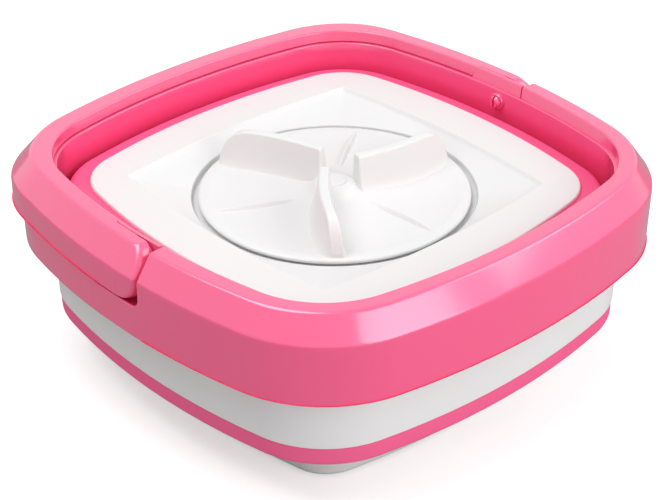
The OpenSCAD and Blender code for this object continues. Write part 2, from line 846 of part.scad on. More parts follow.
module gearbox_case() {
    color(dark) difference() {
        union() {
            translate([0, 0, case_z])
                linear_extrude(case_h)
                    case_outline(0);
            for (p = ears) rod_z(ear_r, lid_z - ear_h, lid_z, p);
        }
        difference() {
            translate([0, 0, case_z + case_floor])
                linear_extrude(case_h)
                    case_outline(-case_t);
            rod_z(bush_r + 2.4, case_z, case_z + bush_h);
        }
        rod_z(bush_r - 1, case_z - 1, case_z + bush_h + 1);
        rod_z(2.5, case_z + 1, case_z + 4, idler_p);
        rod_z(4.2, case_z - 1, case_z + 4, motor_p);
        for (p = ears) rod_z(1.8, case_z, lid_z + 1, p);
        for (p = motor_screws_at) rod_z(1.4, case_z - 1, case_z + 4, p);
    }
}
module gearbox_cover() {
    color(dark) difference() {
        translate([0, 0, lid_z])
            linear_extrude(lid_t) {
                case_outline(0);
                for (p = ears) translate(p) circle(r = ear_r);
            }
        rod_z(shaft_r + 0.6, lid_z - 1, boss_z + 1);
        rod_z(2.5, lid_z - 1, lid_z + lid_t - 1, idler_p);
        for (p = ears) rod_z(1.8, lid_z - 1, boss_z + 1, p);
    }
}
module gearbox_screws() {
    color(steel) for (p = ears) {
        rod_z(1.5, lid_z - ear_h - 0.1, well_z - 4.2, p);
        rod_z(3, lid_z - ear_h - ear_head_h, lid_z - ear_h, p);
    }
}

// Motor below the case
motor_z = case_z - motor_h;
module motor_can() {
    color(steel) difference() {
        union() {
            rod_z(motor_r, motor_z, case_z, motor_p);
            rod_z(4.1, case_z - 1, case_z + 2.3, motor_p);
        }
        rod_z(motor_r - 1.6, motor_z - 1, case_z - 2.4, motor_p);
        rod_z(1.65, motor_z, case_z + 4, motor_p);
        for (p = motor_screws_at) rod_z(1.3, case_z - 3, case_z + 1, p);
    }
}
module motor_end_cap() {
    color(dark) difference() {
        union() {
            rod_z(motor_r, motor_z - 2.4, motor_z, motor_p);
            rod_z(motor_r - 1.7, motor_z - 0.5, motor_z + 3, motor_p);
            rod_z(5, motor_z - 4.4, motor_z, motor_p);
        }
        rod_z(1.65, motor_z - 3, motor_z + 4, motor_p);
    }
}
module motor_shaft() {
    color(steel) union() {
        rod_z(1.6, motor_z - 2.9, idler_gear_z + idler_w + 0.5, motor_p);
        rod_z(motor_r - 3.2, motor_z + rotor_gap, case_z - rotor_gap, motor_p);
    }
}
module motor_screws() {
    color(steel) for (p = motor_screws_at) {
        rod_z(1.25, case_z - 2.3, case_z + case_floor + 0.1, p);
        rod_z(2.3, case_z + case_floor, case_z + case_floor + head_h, p);
    }
}
// Leads from the motor to the board
function tube_sec(p, d, r) =
    let (w = d / norm(d), u0 = cross([0, 1, 0], w), u = u0 / norm(u0), v = cross(w, u))
    [for (k = [0 : 7]) p + r * (u * cos(45 * k + 22.5) - v * sin(45 * k + 22.5))];
module lead(s) {
    a = [motor_p[0] + 4, motor_p[1] + 9 * s, motor_z - 2.4];
    b = [board_x, posts_y[0] + 6 + 3 * s, button_z - 6];
    m = [
        a,
        a + [0.4, 0, -2],
        a + [4, 0, -4.2],
        a + [12, 0, -5],
        [a[0] * 0.5 + b[0] * 0.5, a[1] * 0.6 + b[1] * 0.4, (a[2] + b[2]) / 2 - 2],
        b + [-14, -3, 0],
        b + [-5, 0, 0],
        b
    ];
    n = len(m);
    d = [[0, 0, -1], m[2] - m[0], m[3] - m[1], m[4] - m[2], m[5] - m[3], m[6] - m[4], m[7] - m[5], [1, 0, 0]];
    skin([for (k = [0 : n - 1]) tube_sec(m[k], d[k], 1)], false);
}
module motor_leads() {
    color([0.75, 0.10, 0.10]) {
        lead(-1);
        lead(1);
    }
}

// Shaft, bushes and seal
hub_z = floor_z - 0.8;
shaft_top = hub_z - 6.2;
module drive_shaft() {
    color(steel) difference() {
        rod_z(shaft_r, case_z + 0.6, shaft_top);
        rod_z(2.05, shaft_top - 12, shaft_top + 1);
    }
}
module upper_bush() {
    color([0.72, 0.52, 0.30]) tube_z(bush_r, shaft_r + shaft_fit, boss_z, boss_z + 8);
}
module lower_bush() {
    color([0.72, 0.52, 0.30]) tube_z(bush_r - 1, shaft_r + shaft_fit, case_z, case_z + bush_h);
}
module shaft_seal() {
    color(dark) rotate_extrude($fn = 64) polygon([
        [shaft_r + shaft_fit, boss_z + 11],
        [shaft_r + 1.2, boss_z + 8],
        [seal_r - 0.02, boss_z + 8],
        [seal_r - 0.02, boss_z + 14],
        [seal_r - 2, boss_z + 14],
        [seal_r - 2, boss_z + 9.6],
        [shaft_r + 2.2, boss_z + 9.6],
        [shaft_r + 1, boss_z + 12]
    ]);
}

// Pulsator: a dished disc with tall vanes, low swirling ridges and a hub
disc_z = floor_z - 6.6;
function vane_sec(r, sway, top, wide) =
    let (z0 = disc_z - 2, h = floor_z + vane_rise - z0)
    let (half = [[7.4, 0], [4.6, 0.12], [vane_t + 1.1, 0.34], [vane_t, 0.93], [vane_t * 0.5, 1]])
    [
        for (p = half) [r, sway - p[0] * wide, z0 + h * p[1] * top],
        for (p = backwards(half)) [r, sway + p[0] * wide, z0 + h * p[1] * top]
    ];
module vane() {
    r1 = pulsator_r - 3.5;
    skin([
        vane_sec(11.3, -5.6, 0.9, 0.65),
        vane_sec(12.8, -5.7, 0.97, 0.9),
        vane_sec(16, -6, 1, 1),
        vane_sec(r1 * 0.38, -6.6, 1, 1),
        vane_sec(r1 * 0.6, -6.1, 1, 1.05),
        vane_sec(r1 * 0.78, -3.6, 0.985, 1.1),
        vane_sec(r1 * 0.87, -1.9, 0.9, 1.2),
        vane_sec(r1 * 0.94, -0.7, 0.66, 1.3),
        vane_sec(r1 * 0.985, 0.2, 0.34, 1.25),
        vane_sec(r1, 0.5, 0.12, 0.9)
    ], false);
}
module ridge() {
    r0 = 24;
    r1 = pulsator_r - 4.5;
    n = 5;
    skin([
        for (k = [0 : n])
            let (f = k / n, r = r0 + (r1 - r0) * f, a = -6 * f, h = 2.3 * sqrt(max(0.03, sin(180 * f))))
            for (w = [2.8 - 1.4 * f])
                [
                    lift(polar(r, a) + polar(w, a - 90), disc_z - 2.4),
                    lift(polar(r, a) + polar(w * 0.4, a - 90), disc_z - 1 + h),
                    lift(polar(r, a) + polar(w * 0.4, a + 90), disc_z - 1 + h),
                    lift(polar(r, a) + polar(w, a + 90), disc_z - 2.4)
                ]
    ], false);
}
module pulsator() {
    color(white) difference() {
        union() {
            rotate_extrude($fn = 96)
                polygon([
                    [0, disc_z - 4.8],
                    [shaft_r + 5, disc_z - 4.8],
                    [shaft_r + 5, disc_z - 3.3],
                    [pulsator_r - 4.5, disc_z - 3.3],
                    [pulsator_r, disc_z - 2.4],
                    [pulsator_r, disc_z - 1.3],
                    [pulsator_r - 0.9, disc_z - 0.4],
                    [pulsator_r - 2.7, disc_z],
                    [pulsator_r - 12, disc_z],
                    [pulsator_r - 16, disc_z - 0.8],
                    [pulsator_r * 0.62, disc_z - 1.1],
                    [pulsator_r * 0.36, disc_z - 0.6],
                    [16, disc_z + 0.8],
                    [12.5, hub_z - 2.4],
                    [10, hub_z - 0.4],
                    [8.6, hub_z],
                    [0, hub_z]
                ]);
            for (k = [0 : vanes - 1]) {
                rotate([0, 0, 78.5 + 360 * k / vanes]) vane();
                rotate([0, 0, 12.5 + 360 * k / vanes]) ridge();
            }
        }
        rod_z(shaft_r + 0.02, disc_z - 6, shaft_top);
        rod_z(2.1, disc_z - 6, hub_z);
        rod_z(4, hub_z - 4.8, hub_z + 1);
        rod_z(6.5, hub_z - 2, hub_z + 30);
    }
}
module pulsator_screw() {
    color(steel) {
        rod_z(2, shaft_top - 11, hub_z - 4.7);
        rod_z(3.7, hub_z - 4.8, hub_z - 2.2);
    }
}
module hub_cap() {
    color(white) rod_z(6.45, hub_z - 2, hub_z);
}

base_housing();
bottom_cover();
rubber_feet();
case_screws();
tub_floor();
lower_fold();
middle_ring();
upper_fold();
tub_collar();
rim_frame();
rim_screws();
handle();
pulsator();
pulsator_screw();
hub_cap();
drive_shaft();
shaft_seal();
upper_bush();
lower_bush();
gearbox_case();
gearbox_cover();
gearbox_screws();
output_gear();
idler_gear();
idler_pin();
motor_pinion();
motor_shaft();
motor_can();
motor_end_cap();
motor_screws();
motor_leads();
power_button();
button_seal();
dc_socket();
control_board();
board_screws();
tact_switch();
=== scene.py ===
# %% [markdown]
# # A washing machine that folds flat
#
# The object is a small square washing machine whose tub folds down over its motor base. From the
# top down it has a pink rim with a carrying handle laid round it, a soft pink fold, a white ring,
# a second soft fold and a white base. A white pulsator with three tall vanes stands in the tub.
#
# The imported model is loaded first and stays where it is. Each piece made here is either a
# finer skin over one of its nodes or a finish for it, and rides on the same body.

# %% Load the model
import json
import math

import bmesh
import bpy
from mathutils import Matrix, Vector


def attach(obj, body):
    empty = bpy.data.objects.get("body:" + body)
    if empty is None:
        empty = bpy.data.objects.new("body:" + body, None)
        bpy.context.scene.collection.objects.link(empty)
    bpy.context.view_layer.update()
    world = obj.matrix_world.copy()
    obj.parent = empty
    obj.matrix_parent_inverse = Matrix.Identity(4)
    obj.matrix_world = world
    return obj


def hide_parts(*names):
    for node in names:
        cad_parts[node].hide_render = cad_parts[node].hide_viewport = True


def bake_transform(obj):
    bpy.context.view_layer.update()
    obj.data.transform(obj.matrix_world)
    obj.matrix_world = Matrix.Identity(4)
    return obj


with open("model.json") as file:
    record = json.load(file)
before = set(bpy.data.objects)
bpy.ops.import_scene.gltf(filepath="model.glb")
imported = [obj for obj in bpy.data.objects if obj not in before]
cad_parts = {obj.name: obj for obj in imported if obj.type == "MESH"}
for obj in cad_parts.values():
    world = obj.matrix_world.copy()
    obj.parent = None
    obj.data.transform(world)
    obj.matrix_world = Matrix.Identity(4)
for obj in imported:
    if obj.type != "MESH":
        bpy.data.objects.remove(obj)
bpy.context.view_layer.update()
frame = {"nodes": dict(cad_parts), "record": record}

# %% [markdown]
# ## The camera
#
# The photograph was taken from the front right, about thirty degrees above the tub. The camera
# comes first, so that every later look at the scene is from the same place. A long lens from a
# little over a metre keeps the far rim nearly as wide as the near one, as in the photograph.

# %% Place the camera
MM = 0.001
VIEW_TURN = math.radians(47.84)
VIEW_DROP = math.radians(31.03)
VIEW_ROLL = math.radians(-0.32)
VIEW_DISTANCE = 1136.6 * MM
LENS_PIXELS = 1970.5
PHOTO_WIDTH = 667

toward_camera = Vector((
    math.sin(VIEW_TURN) * math.cos(VIEW_DROP),
    -math.cos(VIEW_TURN) * math.cos(VIEW_DROP),
    math.sin(VIEW_DROP),
))
view_right = Vector((math.cos(VIEW_TURN), math.sin(VIEW_TURN), 0))
look_at = view_right * -0.78 * MM + Vector((0, 0, 65.57 * MM))

camera_data = bpy.data.cameras.new("camera")
camera_data.sensor_width = 36
camera_data.lens = LENS_PIXELS / PHOTO_WIDTH * camera_data.sensor_width
camera = bpy.data.objects.new("camera", camera_data)
camera.location = look_at + toward_camera * VIEW_DISTANCE
turned = toward_camera.to_track_quat("Z", "Y").to_matrix()
camera.rotation_euler = (turned @ Matrix.Rotation(VIEW_ROLL, 3, "Z")).to_euler()
bpy.context.scene.collection.objects.link(camera)
bpy.context.scene.camera = camera
print("lens", round(camera_data.lens, 2), "mm")

# %% [markdown]
# ## Studio light
#
# The photograph has soft white light from above. The tops and the right-hand walls are the
# palest, and the white ring lies in the shade of the rim. One small lamp would throw hard
# shadows, and a white world alone would throw hardly any. So three wide lamps stand in a
# half-bright world: one above on the left, one low on the near right, and one high on the right
# whose reflection brightens the rim's shoulder. The world is dimmer for light than for the
# camera and for reflections, so that the background is white and the object isn't washed out.

# %% World and lamps
bpy.context.scene.view_settings.view_transform = "Standard"


def new_world(light, seen):
    """A grey sky for light, and a white one for the camera and in reflections."""
    world = bpy.data.worlds.new("studio")
    world.use_nodes = True
    nodes, links = world.node_tree.nodes, world.node_tree.links
    path = nodes.new("ShaderNodeLightPath")
    seen_by = nodes.new("ShaderNodeMath")
    seen_by.operation = "MAXIMUM"
    links.new(path.outputs["Is Camera Ray"], seen_by.inputs[0])
    glossy = nodes.new("ShaderNodeMath")
    glossy.operation = "MAXIMUM"
    links.new(path.outputs["Is Glossy Ray"], glossy.inputs[0])
    links.new(path.outputs["Is Transmission Ray"], glossy.inputs[1])
    links.new(glossy.outputs[0], seen_by.inputs[1])
    strength = nodes.new("ShaderNodeMapRange")
    strength.inputs["To Min"].default_value = light
    strength.inputs["To Max"].default_value = seen
    links.new(seen_by.outputs[0], strength.inputs["Value"])
    links.new(strength.outputs["Result"], nodes["Background"].inputs["Strength"])
    nodes["Background"].inputs["Color"].default_value = (1, 1, 1, 1)
    bpy.context.scene.world = world


def area_lamp(name, place, aim, width, watts):
    """A square soft lamp at place, turned to aim."""
    data = bpy.data.lights.new(name, "AREA")
    data.size = width
    data.energy = watts
    lamp = bpy.data.objects.new(name, data)
    lamp.location = Vector(place)
    lamp.rotation_euler = (Vector(place) - Vector(aim)).to_track_quat("Z", "Y").to_euler()
    bpy.context.scene.collection.objects.link(lamp)


LAMPS = [
    # name, place, aim, width in metres, watts
    ("sky_lamp", (-0.25, -0.5, 1.45), (0, 0, 0.1), 1.0, 11.6),
    ("right_lamp", (1.3, 0.1, 0.55), (0, 0, 0.08), 0.9, 7.4),
    ("back_lamp", (0.85, 0.98, 1.05), (0, 0, 0.12), 0.8, 5.0),
]
new_world(light=0.50, seen=1.0)
for lamp_values in LAMPS:
    area_lamp(*lamp_values)
print("lamps", [lamp_values[0] for lamp_values in LAMPS])

# %% [markdown]
# ## The floor
#
# The floor is a plain pale sheet. A curved backdrop would hide the horizon, but block the views
# from behind. For the camera alone the sheet is given a touch of its own light, which lifts it to
# white where nothing shades it and keeps the soft shadow round the base. To all other rays it is
# grey paper, and darker still in reflections, so that the light from below doesn't wash out the
# colour of the walls.

# %% Floor
FLOOR_HALF = 3.0
SEEN_TONE = 0.93
BOUNCE_TONE = 0.62
MIRRORED_TONE = 0.36
FLOOR_GLOW = 0.42


def grey(tone):
    return tone, tone, tone, 1


def floor_finish():
    """White paper to the camera and grey paper to the light."""
    material = bpy.data.materials.new("floor_white")
    material.use_nodes = True
    nodes, links = material.node_tree.nodes, material.node_tree.links
    shader = nodes["Principled BSDF"]
    shader.inputs["Roughness"].default_value = 0.9
    shader.inputs["Specular IOR Level"].default_value = 0.1
    shader.inputs["Emission Color"].default_value = (1, 1, 1, 1)
    path = nodes.new("ShaderNodeLightPath")
    own_light = nodes.new("ShaderNodeMath")
    own_light.operation = "MULTIPLY"
    own_light.inputs[1].default_value = FLOOR_GLOW
    links.new(path.outputs["Is Camera Ray"], own_light.inputs[0])
    links.new(own_light.outputs[0], shader.inputs["Emission Strength"])
    unseen = nodes.new("ShaderNodeMix")
    unseen.data_type = "RGBA"
    unseen.inputs["A"].default_value = grey(BOUNCE_TONE)
    unseen.inputs["B"].default_value = grey(MIRRORED_TONE)
    links.new(path.outputs["Is Glossy Ray"], unseen.inputs["Factor"])
    paper = nodes.new("ShaderNodeMix")
    paper.data_type = "RGBA"
    links.new(unseen.outputs["Result"], paper.inputs["A"])
    paper.inputs["B"].default_value = grey(SEEN_TONE)
    links.new(path.outputs["Is Camera Ray"], paper.inputs["Factor"])
    links.new(paper.outputs["Result"], shader.inputs["Base Color"])
    return material


def new_object(name, bm):
    """Turns a bmesh into an object in the scene."""
    mesh = bpy.data.meshes.new(name)
    bm.to_mesh(mesh)
    bm.free()
    made = bpy.data.objects.new(name, mesh)
    bpy.context.scene.collection.objects.link(made)
    return made


floor_bm = bmesh.new()
bmesh.ops.create_grid(floor_bm, x_segments=1, y_segments=1, size=FLOOR_HALF)
floor = new_object("floor", floor_bm)
floor.data.materials.append(floor_finish())
print("floor", 2 * FLOOR_HALF, "m wide")

# %% [markdown]
# ## Finishes
#
# Moulded plastic is never a single flat colour. Its skin has a faint ripple from the mould, a
# fine grain, and a colour that drifts a little where the wall is thick or thin. Painted
# textures would need an unwrapped mesh for each piece, and noise on Object coordinates needs
# none. One node group makes all three, and each finish uses it with its own sizes.

# %% A group for moulded surfaces


def moulded_group():
    """Puts out a drift of tone from 0 to 1 and a height for the bump."""
    group = bpy.data.node_groups.new("moulded surface", "ShaderNodeTree")
    face = group.interface
    for name, value in (("Drift Size", 14.0), ("Ripple Size", 90.0), ("Grain Size", 2600.0),
                        ("Ripple", 0.5), ("Grain", 0.15)):
        socket = face.new_socket(name=name, in_out="INPUT", socket_type="NodeSocketFloat")
        socket.default_value = value
    for name in ("Drift", "Height"):
        face.new_socket(name=name, in_out="OUTPUT", socket_type="NodeSocketFloat")
    nodes = group.nodes
    given = nodes.new("NodeGroupInput")
    out = nodes.new("NodeGroupOutput")
    place = nodes.new("ShaderNodeTexCoord")

    def noise(size_name, detail):
        cloud = nodes.new("ShaderNodeTexNoise")
        cloud.inputs["Detail"].default_value = detail
        group.links.new(place.outputs["Object"], cloud.inputs["Vector"])
        group.links.new(given.outputs[size_name], cloud.inputs["Scale"])
        return cloud.outputs["Fac"]

    drift = noise("Drift Size", 2.0)
    parts = []
    for size_name, share in (("Ripple Size", "Ripple"), ("Grain Size", "Grain")):
        scaled = nodes.new("ShaderNodeMath")
        scaled.operation = "MULTIPLY"
        group.links.new(noise(size_name, 1.0), scaled.inputs[0])
        group.links.new(given.outputs[share], scaled.inputs[1])
        parts.append(scaled.outputs[0])
    height = nodes.new("ShaderNodeMath")
    height.operation = "ADD"
    group.links.new(parts[0], height.inputs[0])
    group.links.new(parts[1], height.inputs[1])
    group.links.new(drift, out.inputs["Drift"])
    group.links.new(height.outputs[0], out.inputs["Height"])
    return group


MOULDED = moulded_group()

# %% [markdown]
# A finish is a shader with two tones of one colour, mixed by the drift, and a bump from the
# group's height. Roughness drifts a little as well. What is the same all over the surface, such
# as its clear coat, is set on the shader itself.
#
# The rim's pink is a deep colour under a gloss that mirrors a lot. Where it mirrors the sky, on
# the rim's top and shoulder, it looks paler than on the wall. A paler pink would lose that.

# %% Make a finish


def finish(name, colour, other, rough, rough_drift=0.05, bump=0.00004, sizes=None, **plain):
    """A material: two tones, a roughness that drifts, a bump, and plain values on the shader."""
    material = bpy.data.materials.new(name)
    material.use_nodes = True
    nodes, links = material.node_tree.nodes, material.node_tree.links
    shader = nodes["Principled BSDF"]
    surface = nodes.new("ShaderNodeGroup")
    surface.node_tree = MOULDED
    for socket, value in (sizes or {}).items():
        surface.inputs[socket].default_value = value
    tone = nodes.new("ShaderNodeMix")
    tone.data_type = "RGBA"
    tone.inputs["A"].default_value = (*colour, 1)
    tone.inputs["B"].default_value = (*other, 1)
    links.new(surface.outputs["Drift"], tone.inputs["Factor"])
    links.new(tone.outputs["Result"], shader.inputs["Base Color"])
    sheen = nodes.new("ShaderNodeMapRange")
    sheen.inputs["To Min"].default_value = rough - rough_drift
    sheen.inputs["To Max"].default_value = rough + rough_drift
    links.new(surface.outputs["Drift"], sheen.inputs["Value"])
    links.new(sheen.outputs["Result"], shader.inputs["Roughness"])
    relief = nodes.new("ShaderNodeBump")
    relief.inputs["Strength"].default_value = 1.0
    relief.inputs["Distance"].default_value = bump
    links.new(surface.outputs["Height"], relief.inputs["Height"])
    links.new(relief.outputs["Normal"], shader.inputs["Normal"])
    for socket, value in plain.items():
        shader.inputs[socket.replace("_", " ")].default_value = value
    return material


PINK = finish(
    "glossy_pink", (0.95, 0.07, 0.225), (0.965, 0.083, 0.245), 0.3,
    Specular_IOR_Level=0.8, Specular_Tint=(1, 0.75, 1, 1),
    Coat_Weight=1.0, Coat_IOR=1.7, Coat_Roughness=0.14,
)
SOFT_PINK = finish(
    "soft_magenta", (0.90, 0.10, 0.27), (0.92, 0.12, 0.30), 0.5,
    sizes={"Grain": 0.5, "Ripple": 0.3},
)
WHITE = finish("satin_white", (0.79, 0.79, 0.79), (0.81, 0.81, 0.81), 0.38)
print("finishes", [m.name for m in bpy.data.materials])

# %% [markdown]
# ## One outline for every ring
#
# Seen from above, the machine is a rounded square with slightly bowed sides. Four long
# arcs and four corner arcs meet without a kink, and every ring of the tub is this outline drawn
# in by its own inset. One formula for a squarish curve would be shorter, but has no simple
# parallel curves, and nested rings need those. A station is one place along the outline: the
# centre of its arc, the radius and the angle. A point of a section is then given by its inset
# and its height.

# %% The outline's stations
RIM_HALF = 155.0
CORNER_R = 74.0
SIDE_R = 440.0
SIDE_STEPS = 12
CORNER_STEPS = 18
side_centre = RIM_HALF - SIDE_R
arc_gap = SIDE_R - CORNER_R
corner_centre = (side_centre + math.sqrt(2 * arc_gap**2 - side_centre**2)) / 2
turn = math.degrees(math.atan2(corner_centre, corner_centre - side_centre))


def side_station(quarter, angle):
    """On the long arc of this quarter."""
    c, s = math.cos(math.pi / 2 * quarter), math.sin(math.pi / 2 * quarter)
    return side_centre * c, side_centre * s, SIDE_R, 90 * quarter + angle


def corner_station(quarter, angle):
    """On the corner's arc of this quarter."""
    c, s = math.cos(math.pi / 2 * quarter), math.sin(math.pi / 2 * quarter)
    return corner_centre * (c - s), corner_centre * (s + c), CORNER_R, 90 * quarter + angle


def place(station, inset, height):
    """Where a section's point is at this station, in metres."""
    x, y, radius, angle = station
    a = math.radians(angle)
    reach = radius - inset
    return Vector((x + reach * math.cos(a), y + reach * math.sin(a), height)) * MM


def at_x(side, x):
    """The station at this x on the +Y side (side 1) or on the -Y side (side -1)."""
    return side_station(2 - side, -side * math.degrees(math.asin(x / SIDE_R)))


def slide(vert, side, x):
    """Moves a vertex along its side to this x, at the inset that it has."""
    middle = side * side_centre * MM
    reach = math.hypot(vert.co.x, vert.co.y - middle)
    vert.co.x = x * MM
    vert.co.y = middle + side * math.sqrt(reach**2 - vert.co.x**2)


OUTLINE = []
for quarter in range(4):
    OUTLINE += [side_station(quarter, turn * (2 * k / SIDE_STEPS - 1)) for k in range(SIDE_STEPS)]
    OUTLINE += [
        corner_station(quarter, turn + (90 - 2 * turn) * k / CORNER_STEPS)
        for k in range(CORNER_STEPS)
    ]
QUARTER = SIDE_STEPS + CORNER_STEPS
print("stations", len(OUTLINE), "corner centre", round(corner_centre, 2))

# %% [markdown]
# ## Rings by extrusion
#
# A ring starts as one row of vertices round the outline. The row is extruded once for
# each point of the section, and each new vertex is moved to its place. Two number layers travel
# with the vertices: one remembers the station and one the point. The last row lands on the first
# and is merged with it, which closes the wall. A curve with a bevel profile also sweeps a
# section, but it can't change the section on its way round.

# %% Extrude a ring
MERGE = 1e-7


def row_out(bm, edges):
    """Extrudes a row of edges and returns the new vertices and edges."""
    made = bmesh.ops.extrude_edge_only(bm, edges=edges)["geom"]
    verts = {g for g in made if isinstance(g, bmesh.types.BMVert)}
    kept = [
        g for g in made
        if isinstance(g, bmesh.types.BMEdge) and g.verts[0] in verts and g.verts[1] in verts
    ]
    return verts, kept


def swept_mesh(stations, points, spot, whole=True):
    """spot(i, k) is where point k of the section goes at station i."""
    bm = bmesh.new()
    station_of = bm.verts.layers.int.new("station")
    point_of = bm.verts.layers.int.new("point")
    row = [bm.verts.new(spot(i, 0)) for i in range(stations)]
    for i, v in enumerate(row):
        v[station_of] = i
    ends = row[1:] + row[:1] if whole else row[1:]
    edges = [bm.edges.new(pair) for pair in zip(row, ends)]
    for k in range(1, points + 1):
        verts, edges = row_out(bm, edges)
        for v in verts:
            v[point_of] = k % points
            v.co = spot(v[station_of], k % points)
    bmesh.ops.remove_doubles(bm, verts=bm.verts, dist=MERGE)
    if not whole:
        open_edges = [e for e in bm.edges if e.is_boundary]
        bmesh.ops.holes_fill(bm, edges=open_edges, sides=0)
    bmesh.ops.recalc_face_normals(bm, faces=bm.faces)
    return bm


def ring_mesh(stations, section, whole=True):
    """section(i) is the list of (inset, height) at station i."""
    sections = [section(i) for i in range(len(stations))]
    return swept_mesh(
        len(stations), len(sections[0]), lambda i, k: place(stations[i], *sections[i][k]), whole,
    )


# %% [markdown]
# Moulded edges are never sharp. Each row of a ring remembers its point of the section, so a
# whole edge is chosen by that number and bevelled at once. A Bevel modifier has one width for
# a piece, and the radii here differ from row to row. The piece then gets smooth shading
# that keeps its flat faces flat, its finish and the body that it rides on.

# %% Round the edges and dress the piece


def round_rows(bm, radii, stations=None, segments=4):
    """Bevels the rows named in radii, where radii is {point: radius}."""
    station_of = bm.verts.layers.int["station"]
    point_of = bm.verts.layers.int["point"]
    for point, radius in radii.items():
        chosen = [
            e for e in bm.edges
            if all(v[point_of] == point for v in e.verts)
            and (stations is None or all(v[station_of] in stations for v in e.verts))
        ]
        bmesh.ops.bevel(
            bm, geom=chosen, offset=radius * MM, offset_type="OFFSET", segments=segments,
            profile=0.5, affect="EDGES", material=-1, clamp_overlap=False, loop_slide=True,
        )


def dress(bm, name, material, body=None, nodes=(), sharp=32):
    """Makes the piece, smooths it, gives it its finish and puts it on its body."""
    piece = new_object(name, bm)
    piece.data.shade_smooth()
    piece.data.set_sharp_from_angle(angle=math.radians(sharp))
    piece.data.materials.append(material)
    weighted = piece.modifiers.new("flat faces stay flat", "WEIGHTED_NORMAL")
    weighted.keep_sharp = True
    if nodes:
        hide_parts(*nodes)
    if body:
        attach(piece, body)
    print(name, len(piece.data.polygons), "faces")
    return piece


# %% [markdown]
# ## Heights
#
# The rim's top, the wash floor and the folds are all set from the ground up, in
# millimetres. Insets are counted from the widest line of the rim. Most values hang on another
# one, so that pieces that touch stay together when one is changed.

# %% Heights and insets
FLOOR_Z = 112.3
TOP_Z = FLOOR_Z + 18.7
SKIRT_Z = TOP_Z - 50.5
SLOPE_Z = TOP_Z - 14
LEDGE_Z = TOP_Z - 7.4
COLLAR_Z = LEDGE_Z - 40.6
PIVOT_Z = TOP_Z - 15
GRIP_Z = TOP_Z - 29.5
END_R = 16.8
RECESS_Z = PIVOT_Z - END_R - 0.5
BULK_Z = RECESS_Z - 2.2
RECESS_END = END_R + 1.8
LOW_LIP_Z = RECESS_Z + 1.6
RECESS_CORNER = 7.0
EDGE_R = 0.6
SLOPE_IN = 10.15
LIP_IN = 19.7
SHOULDER_R = 1.4
FOOT_R = 0.8
LIP_R = 1.1
RIM_T = 2.5
SKIRT_IN = 1.1
SHELF_IN = LIP_IN - 2.7
BACK_IN = SHELF_IN + 2.2
GRIP_IN = SHELF_IN - 0.5
LIP_REACH = math.hypot(RECESS_END, TOP_Z - PIVOT_Z) + 0.3
COLLAR_OUT = BACK_IN + 0.4
COLLAR_IN = COLLAR_OUT + 2.2
FLANGE_T = 2.2
RING_TOP_Z = BULK_Z - 1.5
RING_Z = RING_TOP_Z - 52.3
RING_IN = SHELF_IN + 0.9
RING_OUT = RING_IN - 2.4
BAND_Z = RING_Z - 11.8
BORDER_IN = 39.6
CLAMP_Z = FLOOR_Z - 2.2 - 1.8
print("rim", SKIRT_Z, "to", TOP_Z, "ring", RING_Z, "to", RING_TOP_Z)

# %% [markdown]
# ## The rim
#
# The rim is one hollow moulding. On the handle's half its upper part is left out, so
# that the handle can lie in it, and two bulkheads close the hollow there. The section
# therefore changes from full to low over a few millimetres next to each end of the handle. A
# Boolean could cut the recess, but would leave edges that can't be rounded cleanly. Here all
# stations have the same number of points, so one extrusion makes the whole rim.

# %% Rim's sections
def skirt_at(height):
    """The inset of the rim's outer wall, which leans out a little up to the shoulder."""
    return SKIRT_IN * (SLOPE_Z - height) / (SLOPE_Z - SKIRT_Z)


hollow_in = skirt_at(BULK_Z) + RIM_T
rim_full = [
    (SKIRT_IN, SKIRT_Z), (skirt_at(LOW_LIP_Z), LOW_LIP_Z), (0, SLOPE_Z),
    (SLOPE_IN * 0.5, SLOPE_Z + 7), (SLOPE_IN, TOP_Z), (LIP_IN, TOP_Z), (LIP_IN + 0.7, LEDGE_Z),
    (LIP_IN - 1.8, LEDGE_Z), (LIP_IN - RIM_T, TOP_Z - RIM_T), (SLOPE_IN + 1.25, TOP_Z - RIM_T),
    (RIM_T, SLOPE_Z - 0.9), (hollow_in, BULK_Z), (SKIRT_IN + RIM_T, SKIRT_Z),
]


def rim_bulkhead(back):
    """The full section with a closed hollow, its outer edges drawn back for a rounded corner."""
    pulled = [(0, 0), (1, 0.3), (0.8, 0.6), (0.4, 1), (0, 1)]
    foot_z = LOW_LIP_Z + RECESS_CORNER if back else LOW_LIP_Z
    outer = [(skirt_at(foot_z), foot_z)] + rim_full[2:6]
    return [rim_full[0]] + [
        (inset + back * a, height - back * b) for (inset, height), (a, b) in zip(outer, pulled)
    ] + [
        rim_full[6], (BACK_IN, LEDGE_Z - FLANGE_T), (BACK_IN, BULK_Z), (SLOPE_IN + 3, BULK_Z),
        (SLOPE_IN - 3, BULK_Z), (hollow_in, BULK_Z), (SKIRT_IN + RIM_T, SKIRT_Z),
    ]


def rim_low(lip_z):
    """The section at the recess, with its outer lip at this height."""
    wall = skirt_at(lip_z)
    return [
        (SKIRT_IN, SKIRT_Z), (wall, lip_z), (wall + 1.5, lip_z), (wall + 2.3, RECESS_Z),
        (SHELF_IN, RECESS_Z), (SHELF_IN, LEDGE_Z - FLANGE_T), (BACK_IN, LEDGE_Z - FLANGE_T),
        (BACK_IN, LEDGE_Z - FLANGE_T - 0.5), (BACK_IN, BULK_Z), (SLOPE_IN + 3, BULK_Z),
        (SLOPE_IN - 3, BULK_Z), (hollow_in, BULK_Z), (SKIRT_IN + RIM_T, SKIRT_Z),
    ]


# %% [markdown]
# The full section runs round the right half and the low one round the left half. Between them
# lies a passage. It begins at the full section, closes the hollow, turns over the bulkhead's
# small round edge and ends in the rounded corner of the recess.

